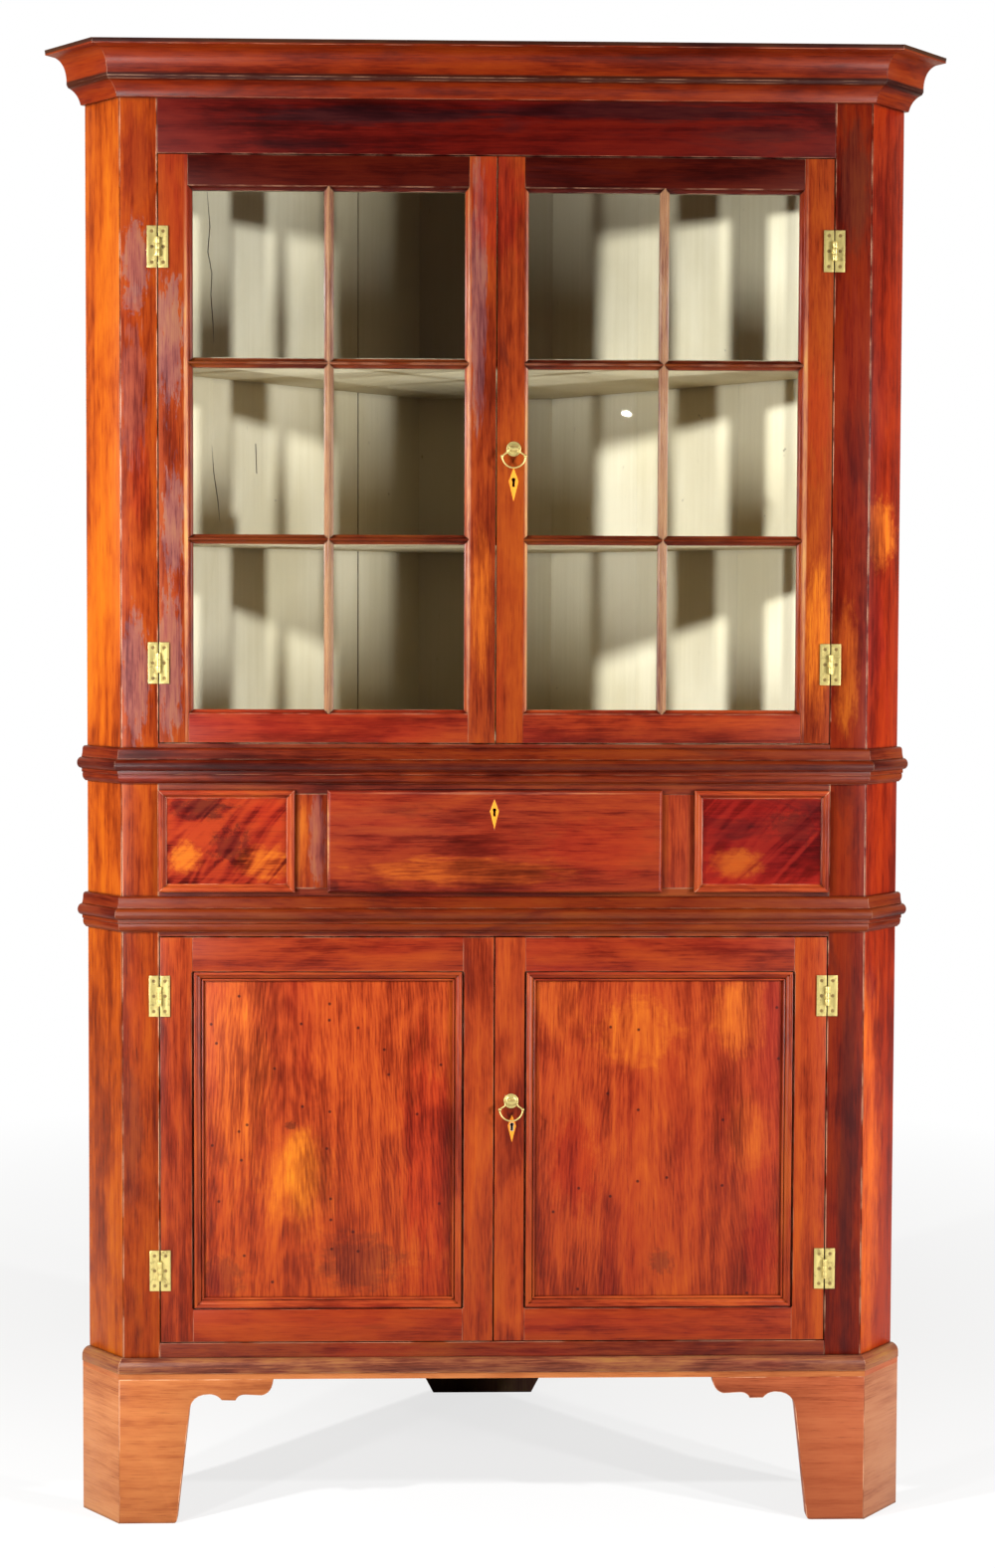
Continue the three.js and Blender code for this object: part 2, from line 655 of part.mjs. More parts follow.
function paneSights(sight) {
  const { width, height } = paneSize(sight);
  const panes = [];
  for (let row = 0; row < GLAZED_ROWS; row += 1) {
    for (let column = 0; column < GLAZED_COLUMNS; column += 1) {
      const x0 = sight.x0 + column * (width + BAR_WIDTH);
      const z0 = sight.z0 + row * (height + BAR_WIDTH);
      panes.push({ x0, x1: x0 + width, z0, z1: z0 + height });
    }
  }
  return panes;
}

// The lower edges of the cross bars, which the shelves line up with
function crossBarLevels() {
  const sight = sashSight(doorSpan(1, UPPER_OPENING_BOTTOM, UPPER_OPENING_TOP), 1);
  const { height } = paneSize(sight);
  return [1, 2].map((bar) => sight.z0 + bar * height + (bar - 1) * BAR_WIDTH);
}

// The cutter of one pane: a quirk, then an ovolo that narrows to the sight size
function paneCutter(pane) {
  const steps = 4;
  const sections = [grown(pane, OVOLO, -CUT_OVERRUN), grown(pane, OVOLO, OVOLO_QUIRK)];
  for (let step = 0; step <= steps; step += 1) {
    const angle = (Math.PI / 2) * (step / steps);
    const spread = (OVOLO - OVOLO_STEP) * Math.cos(angle);
    sections.push(grown(pane, spread, OVOLO_QUIRK + GAP + OVOLO * Math.sin(angle)));
  }
  sections.push(grown(pane, 0, DOOR_THICK + CUT_OVERRUN));
  return rectangleLoft(sections);
}

function makeSash(name, side) {
  const span = doorSpan(side, UPPER_OPENING_BOTTOM, UPPER_OPENING_TOP);
  const sight = sashSight(span, side);
  const blank = board(span.x0, span.x1, 0, DOOR_THICK, span.z0, span.z1);
  const rebate = rectangleLoft([
    grown(sight, REBATE_WIDTH, DOOR_THICK - REBATE_DEPTH),
    grown(sight, REBATE_WIDTH, DOOR_THICK + CUT_OVERRUN),
  ]);
  place(`${name}_sash`, cut(blank, rebate, ...paneSights(sight).map(paneCutter)), wood);
  const glassY = DOOR_THICK - REBATE_DEPTH + GAP;
  const edge = REBATE_WIDTH - GAP;
  const sheet = grown(sight, edge, glassY);
  place(`${name}_glass`, board(sheet.x0, sheet.x1, glassY, glassY + GLASS_THICK, sheet.z0, sheet.z1), glass);
}

// The cutter of a panelled door's opening: a quirk, a bead, a hollow and a small bead down to the panel
function frameCutter(opening) {
  const sections = [grown(opening, 0, -CUT_OVERRUN)];
  for (const [insetShare, depthShare] of PANEL_MOULDING_SHARES) {
    sections.push(grown(opening, -PANEL_MOULDING * insetShare, PANEL_RECESS * depthShare));
  }
  sections.push(grown(opening, -PANEL_MOULDING, DOOR_THICK + CUT_OVERRUN));
  return rectangleLoft(sections);
}

function makePanelDoor(name, side) {
  const span = doorSpan(side, LOWER_OPENING_BOTTOM, LOWER_OPENING_TOP);
  const leftStile = side < 0 ? FRAME_STILE : FRAME_MEETING_STILE;
  const rightStile = side < 0 ? FRAME_MEETING_STILE : FRAME_STILE;
  const opening = {
    x0: span.x0 + leftStile,
    x1: span.x1 - rightStile,
    z0: span.z0 + FRAME_BOTTOM_RAIL,
    z1: span.z1 - FRAME_TOP_RAIL,
  };
  const panelY = PANEL_RECESS + GAP;
  const rebateInset = PANEL_REBATE_WIDTH - PANEL_MOULDING;
  const blank = board(span.x0, span.x1, 0, DOOR_THICK, span.z0, span.z1);
  const rebate = rectangleLoft([
    grown(opening, rebateInset, PANEL_RECESS),
    grown(opening, rebateInset, DOOR_THICK + CUT_OVERRUN),
  ]);
  place(`${name}_frame`, cut(blank, frameCutter(opening), rebate), wood);
  const panel = grown(opening, rebateInset - GAP, panelY);
  place(`${name}_panel`, board(panel.x0, panel.x1, panelY, panelY + PANEL_THICK, panel.z0, panel.z1), wood);
}

// Hinges: a leaf on the case with two knuckles and the pin, and a leaf on the door with the middle knuckle
function upright(radius, x, z0, z1, sides) {
  const geometry = new THREE.CylinderGeometry(radius, radius, z1 - z0, sides);
  return geometry.rotateX(Math.PI / 2).translate(x, -KNUCKLE_AXIS_Y, (z0 + z1) / 2);
}

function hingeLeaf(x, z, towards) {
  const nearX = x + towards * (DOOR_GAP / 2 + GAP);
  const farX = x + towards * (DOOR_GAP / 2 + LEAF_WIDTH);
  const half = LEAF_HEIGHT / 2;
  return board(Math.min(nearX, farX), Math.max(nearX, farX), -LEAF_THICK, 0, z - half, z + half);
}

// The web ties a knuckle to its own leaf
function knuckleWeb(x, z0, z1, towards) {
  const farX = x + towards * (DOOR_GAP / 2 + KNUCKLE_RADIUS);
  return board(Math.min(x, farX), Math.max(x, farX), -KNUCKLE_AXIS_Y, -LEAF_THICK / 2, z0, z1);
}

function makeHinge(name, side, z) {
  const x = side * (DOOR_OPENING_HALF - DOOR_GAP / 2);
  const zone = KNUCKLE_HEIGHT / 2;
  const middle = KNUCKLE_HEIGHT / 6;
  const outerZones = [[z - zone, z - middle], [z + middle, z + zone]];
  const innerZone = [z - middle + GAP, z + middle - GAP];
  const sides = 16;
  const relief = (z0, z1) => upright(KNUCKLE_RADIUS + GAP, x, z0, z1, sides);

  const framePieces = [hingeLeaf(x, z, side)];
  const pin = upright(PIN_RADIUS, x, z - zone + GAP, z + zone - GAP, sides);
  for (const [z0, z1] of outerZones) {
    framePieces.push(upright(KNUCKLE_RADIUS, x, z0, z1, sides), knuckleWeb(x, z0, z1, side));
  }
  const frameBody = cut(join(...framePieces), relief(z - middle, z + middle));
  place(`hinge_${name}_frame_leaf`, join(frameBody, pin), brass);

  const doorPieces = [
    hingeLeaf(x, z, -side),
    upright(KNUCKLE_RADIUS, x, ...innerZone, sides),
    knuckleWeb(x, ...innerZone, -side),
  ];
  const cutters = [upright(PIN_BORE_RADIUS, x, z - middle - CUT_OVERRUN, z + middle + CUT_OVERRUN, sides)];
  for (const [z0, z1] of outerZones) {
    cutters.push(relief(z0 - GAP, z1 + GAP));
  }
  place(`hinge_${name}_door_leaf`, cut(join(...doorPieces), ...cutters), brass);
}

// Pulls: a rosette with a stem and a cross barrel, and a bail whose ends turn in the barrel's sockets
function across(radius, x0, x1, y, z, sides) {
  const geometry = new THREE.CylinderGeometry(radius, radius, x1 - x0, sides);
  return geometry.rotateZ(Math.PI / 2).translate((x0 + x1) / 2, y, z);
}

function makePull(name, x, z) {
  const plateProfile = [
    [0, 0],
    [ROSETTE_RADIUS, 0],
    ...ROSETTE_SHARES.map(([rimShare, outShare]) => [ROSETTE_RADIUS * rimShare, ROSETTE_THICK * outShare]),
    [STEM_FOOT_RADIUS, ROSETTE_THICK],
    [STEM_RADIUS, ROSETTE_THICK + STEM_FOOT_RADIUS - STEM_RADIUS],
    [STEM_RADIUS, PIVOT_Y],
    [0, PIVOT_Y],
  ].map(([r, out]) => new THREE.Vector2(r, out));
  const turned = closedLathe(new THREE.LatheGeometry(plateProfile, 24).rotateX(Math.PI)).translate(x, 0, z);
  const barrel = across(BARREL_RADIUS, x - BARREL_HALF, x + BARREL_HALF, -PIVOT_Y, z, 14);
  const socket = (side) => across(
    SOCKET_RADIUS,
    Math.min(x + side * (BARREL_HALF - SOCKET_DEPTH), x + side * (BARREL_HALF + CUT_OVERRUN)),
    Math.max(x + side * (BARREL_HALF - SOCKET_DEPTH), x + side * (BARREL_HALF + CUT_OVERRUN)),
    -PIVOT_Y, z, 12);
  place(`pull_${name}_plate`, cut(join(turned, barrel), socket(-1), socket(1)), brass);
  place(`pull_${name}_bail`, bailGeometry(x, z), brass);
}

// A lathe form with the flat triangles at its poles taken out and its faces pointing out
function closedLathe(geometry) {
  const merged = bare(geometry);
  const positions = merged.attributes.position;
  const points = [];
  for (let i = 0; i < positions.count; i += 1) {
    points.push(new THREE.Vector3().fromBufferAttribute(positions, i));
  }
  const triangles = [];
  for (let i = 0; i < merged.index.count; i += 3) {
    const corner = [0, 1, 2].map((k) => merged.index.getX(i + k));
    if (new Set(corner).size === 3) triangles.push(corner);
  }
  return closed(points, triangles);
}

// The bail's line: out of the socket, a bend down, a sweep out to the ear, then a half circle
function bailGeometry(x, z) {
  const at = (dx, dz) => new THREE.Vector3(x + dx, -PIVOT_Y, z + dz);
  const halfLine = [
    at(BARREL_HALF - SOCKET_DEPTH + GAP, 0),
    at(BARREL_HALF, 0),
    at(PIVOT_HALF, -WIRE_RADIUS),
    ...BAIL_SWEEP_SHARES.map(([outShare, dropShare]) => at(EAR_HALF * outShare, -EAR_DROP * dropShare)),
    at(EAR_HALF, -EAR_DROP),
  ];
  const arcSteps = 7;
  const arcPoints = [];
  for (let step = 1; step < arcSteps; step += 1) {
    const angle = Math.PI * (step / arcSteps);
    arcPoints.push(at(EAR_HALF * Math.cos(angle), -EAR_DROP - EAR_HALF * Math.sin(angle)));
  }
  const otherHalf = halfLine.map((point) => new THREE.Vector3(2 * x - point.x, point.y, point.z)).reverse();
  const line = new THREE.CatmullRomCurve3([...halfLine, ...arcPoints, ...otherHalf], false, 'centripetal');
  const section = new THREE.Shape();
  section.absarc(0, 0, WIRE_RADIUS, 0, 2 * Math.PI, false);
  const wire = new THREE.ExtrudeGeometry(section, {
    steps: 56, curveSegments: 4, bevelEnabled: false, extrudePath: line,
  });
  const ball = (side) => new THREE.SphereGeometry(EAR_BALL_RADIUS, 10, 8)
    .translate(x + side * EAR_HALF, -PIVOT_Y, z - EAR_DROP);
  return join(wire, ball(-1), ball(1));
}

// Drawer: a lipped front, sides set in behind it, a back and a raised bottom
function makeDrawer() {
  const bodyHalf = DRAWER_OPENING_HALF - DRAWER_CLEAR;
  const bodyBottom = FRIEZE_BOTTOM + DRAWER_CLEAR;
  const bodyTop = FRIEZE_TOP - DRAWER_CLEAR;
  const lipHalf = DRAWER_OPENING_HALF + LIP_LAP;
  const lip = { x0: -lipHalf, x1: lipHalf, z0: FRIEZE_BOTTOM - LIP_LAP, z1: FRIEZE_TOP + LIP_LAP };
  const steps = 4;
  const sections = [grown(lip, 0, -GAP)];
  for (let step = 0; step <= steps; step += 1) {
    const angle = (Math.PI / 2) * (step / steps);
    const proud = LIP_PROUD - LIP_ROUND * (1 - Math.sin(angle));
    sections.push(grown(lip, -LIP_ROUND * (1 - Math.cos(angle)), -proud));
  }
  const face = rectangleLoft(sections);
  const body = board(-bodyHalf, bodyHalf, -LIP_PROUD / 2, FACE_THICK, bodyBottom, bodyTop);
  place('drawer_front', join(face, body), wood);

  const rearY = BACK_SUM - bodyHalf - DRAWER_REAR_ROOM;
  const sideTop = bodyTop - DRAWER_SIDE_DROP;
  const sideInner = bodyHalf - DRAWER_SIDE_THICK;
  place('drawer_side_left', board(-bodyHalf, -sideInner, FACE_THICK, rearY, bodyBottom, sideTop), paleWood);
  place('drawer_side_right', board(sideInner, bodyHalf, FACE_THICK, rearY, bodyBottom, sideTop), paleWood);
  const backFront = rearY - DRAWER_SIDE_THICK;
  place('drawer_back', board(-sideInner, sideInner, backFront, rearY, bodyBottom, sideTop), paleWood);
  const bottomZ = bodyBottom + DRAWER_BOTTOM_RAISE;
  const bottom = board(-sideInner, sideInner, FACE_THICK, backFront, bottomZ, bottomZ + DRAWER_BOTTOM_THICK);
  place('drawer_bottom', bottom, paleWood);
}

function makeDoors() {
  for (const [hand, side] of [['left', -1], ['right', 1]]) {
    makeSash(`door_upper_${hand}`, side);
    makePanelDoor(`door_lower_${hand}`, side);
    makeHinge(`upper_${hand}_top`, side, UPPER_OPENING_TOP - UPPER_HINGE_FROM_TOP);
    makeHinge(`upper_${hand}_bottom`, side, UPPER_OPENING_BOTTOM + UPPER_HINGE_FROM_BOTTOM);
    makeHinge(`lower_${hand}_top`, side, LOWER_OPENING_TOP - LOWER_HINGE_FROM_TOP);
    makeHinge(`lower_${hand}_bottom`, side, LOWER_OPENING_BOTTOM + LOWER_HINGE_FROM_BOTTOM);
  }
  makePull('upper', PULL_FROM_MEETING, UPPER_OPENING_BOTTOM + UPPER_PULL_RAISE);
  makePull('lower', PULL_FROM_MEETING, LOWER_OPENING_BOTTOM + LOWER_PULL_RAISE);
}

makeStiles();
makeReturns();
makeRails();
makeFriezePosts();
makeFriezePanels();
makeMouldings();
makeInsideBoards();
makeTopBoard();
makeBacks();
makeCornerBoard();
makeFeet();
makeDoors();
makeDrawer();

cupboard.position.y = (CORNICE_PROJECTION - CASE_BACK_Y) / 2;

export default cupboard;
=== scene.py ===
# %% [markdown]
# A glazed corner cupboard, finished around its frame
#
# The cupboard is an old one: cherry boards that a cabinetmaker framed with pegged joints, coated with
# shellac that has darkened, worn and bloomed, and cream paint inside. The frame file holds the joinery
# at its real size, so nothing here moves or resizes a part. This script gives each board its own grain,
# splits the doors into their stiles, rails and bars, and adds the screws, pegs, inlays and locks.

# %% The frame and its box
import json
import math
import random

import bmesh
import bpy
from mathutils import Matrix, Vector


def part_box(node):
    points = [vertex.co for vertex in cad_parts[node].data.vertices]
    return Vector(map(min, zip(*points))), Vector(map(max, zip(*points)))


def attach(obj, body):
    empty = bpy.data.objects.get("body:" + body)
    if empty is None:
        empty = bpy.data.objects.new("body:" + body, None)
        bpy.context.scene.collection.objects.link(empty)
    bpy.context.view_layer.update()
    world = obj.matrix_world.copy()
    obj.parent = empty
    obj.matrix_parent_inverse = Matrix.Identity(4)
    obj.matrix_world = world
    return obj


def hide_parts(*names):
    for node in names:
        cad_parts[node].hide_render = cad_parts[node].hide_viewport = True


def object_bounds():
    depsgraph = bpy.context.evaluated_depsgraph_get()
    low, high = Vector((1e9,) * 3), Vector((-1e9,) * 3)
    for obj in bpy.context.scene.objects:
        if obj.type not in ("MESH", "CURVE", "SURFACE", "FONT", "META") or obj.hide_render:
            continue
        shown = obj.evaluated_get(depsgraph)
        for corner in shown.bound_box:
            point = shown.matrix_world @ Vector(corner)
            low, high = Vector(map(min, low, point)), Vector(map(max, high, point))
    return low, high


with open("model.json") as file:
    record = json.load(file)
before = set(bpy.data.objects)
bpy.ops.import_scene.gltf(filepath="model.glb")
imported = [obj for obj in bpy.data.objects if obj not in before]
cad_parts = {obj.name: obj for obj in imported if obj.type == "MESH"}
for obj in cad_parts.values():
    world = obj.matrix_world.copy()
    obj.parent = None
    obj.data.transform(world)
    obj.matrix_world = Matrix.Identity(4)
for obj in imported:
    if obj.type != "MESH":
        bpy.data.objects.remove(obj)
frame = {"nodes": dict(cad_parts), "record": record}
cad_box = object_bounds()
BODY_OF = {node: body for body, nodes in frame["record"]["behaviour"]["bodies"].items() for node in nodes}
MM = 0.001

# %% [markdown]
# The camera stands where the photographer stood, a little left of the middle and at chest height, and
# looks slightly down and to the right. The lens and the place were worked out from how the two canted
# sides, the feet and the cornice meet in the picture, so a point of the frame falls on its own pixel.

# %% The camera
IMAGE_LONG = 1576
CAMERA_PLACE = Vector((-0.1134, -3.4669, 1.3504))
TURN_RIGHT = math.radians(1.312)
TILT_DOWN = math.radians(2.402)
ROLL = math.radians(0.184)
FOCAL_PIXELS = 2230.8
SENSOR = 36.0
SHIFT_PIXELS = Vector((29.2, -86.2))

camera = bpy.data.objects.new("camera", bpy.data.cameras.new("camera"))
camera.data.sensor_width = SENSOR
camera.data.lens = FOCAL_PIXELS / IMAGE_LONG * SENSOR
camera.data.shift_x = SHIFT_PIXELS.x / IMAGE_LONG
camera.data.shift_y = SHIFT_PIXELS.y / IMAGE_LONG
turned = Matrix.Rotation(-TURN_RIGHT, 4, "Z") @ Matrix.Rotation(math.pi / 2 - TILT_DOWN, 4, "X")
camera.matrix_world = Matrix.Translation(CAMERA_PLACE) @ turned @ Matrix.Rotation(ROLL, 4, "Z")
bpy.context.scene.collection.objects.link(camera)
bpy.context.scene.camera = camera
bpy.context.scene.view_settings.view_transform = "Standard"
print("camera: lens", round(camera.data.lens, 1), "mm")

# %% [markdown]
# A node tree is easier to read when adding a node, setting it and linking it is one call, so that helper
# comes first, with one that turns a screen colour into a shader's. Most of this file is built with them.

# %% Helpers that add, set and link a node
# A Mix node has sockets for each kind of value. These are the share, the two colours and their mixture.
MIX_INPUTS = (0, 6, 7)
MIX_RESULT = 2


def add(tree, kind, inputs=None, **settings):
    """A new node of a shader, or of another editor if its full kind is given. An input takes a number,
    a colour, a vector or another node's output."""
    node = tree.nodes.new(kind if "Node" in kind else "ShaderNode" + kind)
    for name, value in settings.items():
        setattr(node, name, value)
    for name, value in (inputs or {}).items():
        socket = node.inputs[name]
        if isinstance(value, bpy.types.NodeSocket):
            tree.links.new(value, socket)
        else:
            socket.default_value = value
    return node


def calculate(tree, operation, first, second=0.0, clamp=False):
    """One step of arithmetic on numbers, as an output to link on."""
    return add(tree, "Math", {0: first, 1: second}, operation=operation, use_clamp=clamp).outputs[0]


def times(tree, first, second, clamp=False):
    return calculate(tree, "MULTIPLY", first, second, clamp)


def plus(tree, first, second):
    return calculate(tree, "ADD", first, second)


def minus(tree, first, second):
    return calculate(tree, "SUBTRACT", first, second)


def blended(tree, share, first, second):
    """One colour turned towards another by a share."""
    node = add(tree, "Mix", data_type="RGBA")
    for number, value in zip(MIX_INPUTS, (share, first, second)):
        socket = node.inputs[number]
        if isinstance(value, bpy.types.NodeSocket):
            tree.links.new(value, socket)
        else:
            socket.default_value = value
    return node.outputs[MIX_RESULT]


def colour(red, green, blue):
    """A colour as it looks on a screen, 0 to 255, turned to the linear values that a shader takes."""
    def linear(value):
        share = value / 255
        return share / 12.92 if share <= 0.04045 else ((share + 0.055) / 1.055) ** 2.4
    return (linear(red), linear(green), linear(blue), 1)


def new_material(name):
    """A material and its empty tree."""
    material = bpy.data.materials.new(name)
    material.use_nodes = True
    material.node_tree.nodes.clear()
    return material, material.node_tree


def show(tree, shader, kind="OutputMaterial"):
    """Ends a tree with a shader on its output."""
    tree.links.new(shader.outputs[0], add(tree, kind).inputs["Surface"])


# %% [markdown]
# The picture was taken on a white ground. The crisp bars of shadow inside the cupboard show that it was
# lit by four lamps: a high one and a low one on each side. The low ones were tall, because they blur
# the shelves' shadows but not the uprights'. So four area lamps stand where the shadows point, and a
# fifth, tiny one makes the bright spot in a pane. The floor is lit, and seen directly it is mostly
# white, so the cupboard's shadow still shows on it. What it gives back to the cupboard is set darker:
# the photographer's floor was smaller, and less of its light reached the inside.

# %% Floor, world and lamps
FLOOR_HALF = 7.0
FLOOR_WHITE = (0.8, 0.8, 0.8, 1)
FLOOR_BOUNCE = (0.24, 0.21, 0.16, 1)
DIRECT_SHARE = 0.74
FADE = (1.0, 2.6)
ROOM_TO_WALL = (0.3, 0.9)
ROOM_LEVEL = 0.06
ROOM_TINT = (1.0, 0.9, 0.74, 1)
FILL_SHARE = 0.8
LAMPS = [
    ("lamp_left_high", (-2.08, -1.40, 1.92), 0.11, 0.11, 80),
    ("lamp_left_low", (-1.80, -1.85, 0.8), 0.12, 0.95, 41),
    ("lamp_right_high", (2.85, -1.57, 2.0), 0.14, 0.14, 84),
    ("lamp_right_low", (2.33, -1.75, 0.8), 0.12, 0.95, 62),
    ("lamp_front", (0.47, -3.2, 1.89), 0.022, 0.014, 0.25),
]
LAMP_AIM = Vector((0, 0, 1.05))
ONE_TURN = 0.5  # between no turn and one, since a ray's turns are counted in whole numbers


def seen_ray(tree, path):
    """1 for a ray from the camera, straight or through a pane, and 0 for one that a surface has sent on."""
    turned = plus(tree, path["Diffuse Depth"], path["Glossy Depth"])
    direct = calculate(tree, "LESS_THAN", turned, ONE_TURN)
    through = times(tree, path["Is Transmission Ray"], direct)
    return calculate(tree, "MAXIMUM", path["Is Camera Ray"], through)


def make_floor():
    mesh = bpy.data.meshes.new("floor")
    signs = ((-1, -1), (1, -1), (1, 1), (-1, 1))
    corners = [(x * FLOOR_HALF, y * FLOOR_HALF, cad_box[0][2]) for x, y in signs]
    mesh.from_pydata(corners, [], [(0, 1, 2, 3)])
    floor = bpy.data.objects.new("floor", mesh)
    bpy.context.scene.collection.objects.link(floor)
    material, tree = new_material("pale_floor")
    path = add(tree, "LightPath").outputs
    bounced = calculate(tree, "GREATER_THAN", path["Diffuse Depth"], ONE_TURN)
    lit = add(tree, "BsdfDiffuse", {"Color": blended(tree, bounced, FLOOR_WHITE, FLOOR_BOUNCE)})
    white = add(tree, "Emission", {"Color": (1, 1, 1, 1), "Strength": 1.0})
    position = add(tree, "TexCoord").outputs["Object"]
    away = add(tree, "VectorMath", {0: position}, operation="LENGTH").outputs["Value"]
    fade = add(tree, "MapRange", {"Value": away, "From Min": FADE[0], "From Max": FADE[1],
                                  "To Min": DIRECT_SHARE})
    share = times(tree, seen_ray(tree, path), fade.outputs[0])
    both = add(tree, "MixShader", {0: share, 1: lit.outputs[0], 2: white.outputs[0]})
    show(tree, both)
    mesh.materials.append(material)


def make_world():
    """White where it is seen. As light it is bright behind the cupboard and dim on the side of the room."""
    world = bpy.data.worlds.new("studio")
    bpy.context.scene.world = world
    world.use_nodes = True
    tree = world.node_tree
    tree.nodes.clear()
    path = add(tree, "LightPath").outputs
    direction = add(tree, "SeparateXYZ", {0: add(tree, "TexCoord").outputs["Generated"]}).outputs["Y"]
    around = add(tree, "MapRange", {"Value": direction, "From Min": ROOM_TO_WALL[0],
                                     "From Max": ROOM_TO_WALL[1], "To Min": ROOM_LEVEL})
    mirrored = add(tree, "MapRange", {"Value": path["Is Glossy Ray"], "To Min": FILL_SHARE})
    light = times(tree, around.outputs[0], mirrored.outputs[0])
    seen = seen_ray(tree, path)
    tint = blended(tree, seen, ROOM_TINT, (1, 1, 1, 1))
    back = add(tree, "Background", {"Color": tint, "Strength": calculate(tree, "MAXIMUM", seen, light)})
    show(tree, back, "OutputWorld")


def make_lamps():
    for name, place, width, height, power in LAMPS:
        lamp = bpy.data.objects.new(name, bpy.data.lights.new(name, "AREA"))
        lamp.data.shape = "ELLIPSE"
        lamp.data.size = width
        lamp.data.size_y = height
        lamp.data.energy = power
        lamp.location = place
        lamp.visible_transmission = False
        lamp.rotation_euler = (LAMP_AIM - Vector(place)).to_track_quat("-Z", "Y").to_euler()
        bpy.context.scene.collection.objects.link(lamp)


make_floor()
make_world()
make_lamps()
print("stage: floor, world and", len(LAMPS), "lamps")

# %% [markdown]
# The finish of the wood is built in layers, as it came about. Under everything is the grain: fine pores
# and broad streaks that run along a board, and the rings of the tree, which show as arches where the saw
# cut across them. On it lies old shellac, dark and red where it is thick. Then come the grey bloom, the
# knocks, the pale rubbed edges, which are wear and a painted highlight, and grime with painted shade in
# the hollows. Each layer is a node group, so every wood can use it in its own measure. The groups read
# a vector called grain, which each board carries: x runs along its own grain.

# %% Helpers for node groups
def new_group(name, inputs, outputs, editor="Shader"):
    """A node group with its sockets. Each input is a label, a socket kind and a first value or None."""
    tree = bpy.data.node_groups.new(name, editor + "NodeTree")
    for label, kind, value in inputs:
        socket = tree.interface.new_socket(label, in_out="INPUT", socket_type="NodeSocket" + kind)
        if value is not None:
            socket.default_value = value
    for label, kind in outputs:
        tree.interface.new_socket(label, in_out="OUTPUT", socket_type="NodeSocket" + kind)
    return tree, tree.nodes.new("NodeGroupInput").outputs, tree.nodes.new("NodeGroupOutput").inputs


def vector_math(tree, operation, first, second):
    return add(tree, "VectorMath", {0: first, 1: second}, operation=operation).outputs[0]


def band(tree, value, low, high, to_min=0.0, to_max=1.0):
    """A soft step: to_min below low, to_max above high."""
    inputs = {"Value": value, "From Min": low, "From Max": high, "To Min": to_min, "To Max": to_max}
    return add(tree, "MapRange", inputs, interpolation_type="SMOOTHSTEP").outputs["Result"]


def noise(tree, vector, scale, detail=3.0, roughness=0.55, distortion=0.0):
    """Noise stretched by a scale of its own in each direction, in waves to the metre."""
    place = vector_math(tree, "MULTIPLY", vector, scale)
    return add(tree, "TexNoise", {"Vector": place, "Scale": 1.0, "Detail": detail, "Roughness": roughness,
                                  "Distortion": distortion}).outputs["Fac"]


# %% Group: the grain of a board
PORE_WAVES = (24, 560, 560)
STREAK_WAVES = (2.2, 80, 80)
BLOTCH_WAVES = (3.2, 10, 10)
MOTTLE_WAVES = (17, 34, 34)
CURL_WAVES = (36, 9, 9)
CURL_SLANT = 0.9
CURL_BAND = (0.35, 0.65)
WOBBLE_WAVES = (5.5, 9, 9)
GRAIN_SHARES = {"pore": 0.27, "streak": 0.22, "blotch": 0.4, "mottle": 0.11}
GRAIN_BAND = (0.34, 0.66)
RING_WIDTH = 5.2 * MM
RING_SHARE = 0.2
PITH_DEPTH = 0.035
RING_SLOPE = 0.11
WOBBLE = 0.03
BOARD_SPREAD = (31.0, 17.0, 11.0)

tree, given, put = new_group(
    "Grain of a board",
    [("Grain", "Vector", (0, 0, 0)), ("Board", "Float", 0.0), ("Rings", "Float", 0.3),
     ("Curl", "Float", 0.0)],
    [("Streak", "Float"), ("Pore", "Float"), ("Place", "Vector")])
spread = add(tree, "VectorMath", {0: BOARD_SPREAD, "Scale": given["Board"]}, operation="SCALE").outputs[0]
place = vector_math(tree, "ADD", given["Grain"], spread)
layers = {
    "pore": noise(tree, place, PORE_WAVES, detail=5.0, roughness=0.72),
    "streak": noise(tree, place, STREAK_WAVES, detail=3.0),
    "blotch": noise(tree, place, BLOTCH_WAVES, detail=5.0, roughness=0.6, distortion=0.7),
    "mottle": noise(tree, place, MOTTLE_WAVES, detail=2.0),
}
mix = 0.0
for kind, layer in layers.items():
    mix = plus(tree, times(tree, layer, GRAIN_SHARES[kind]), mix)
mix = band(tree, mix, *GRAIN_BAND)
axes = add(tree, "SeparateXYZ", {0: given["Grain"]}).outputs
wobble = times(tree, noise(tree, place, WOBBLE_WAVES, detail=3.0), WOBBLE)
bent = plus(tree, axes["Y"], wobble)
squared = plus(tree, times(tree, bent, bent), PITH_DEPTH * PITH_DEPTH)
drift = plus(tree, calculate(tree, "SQRT", squared), times(tree, axes["X"], RING_SLOPE))
ring = calculate(tree, "SINE", times(tree, drift, 2 * math.pi / RING_WIDTH))
ring = times(tree, ring, times(tree, given["Rings"], RING_SHARE))
leaning = minus(tree, axes["X"], times(tree, axes["Y"], CURL_SLANT))
slanted = vector_math(tree, "ADD", spread, add(tree, "CombineXYZ", {"X": leaning, "Y": axes["Y"]}).outputs[0])
curl = band(tree, noise(tree, slanted, CURL_WAVES, detail=2.0, distortion=0.8), *CURL_BAND, -1, 1)
mix = plus(tree, mix, ring)
mix = plus(tree, mix, times(tree, curl, given["Curl"]))
for socket, value in zip(put, (mix, layers["pore"], place)):
    tree.links.new(value, socket)
grain_group = tree
print("grain:", len(tree.nodes), "nodes")

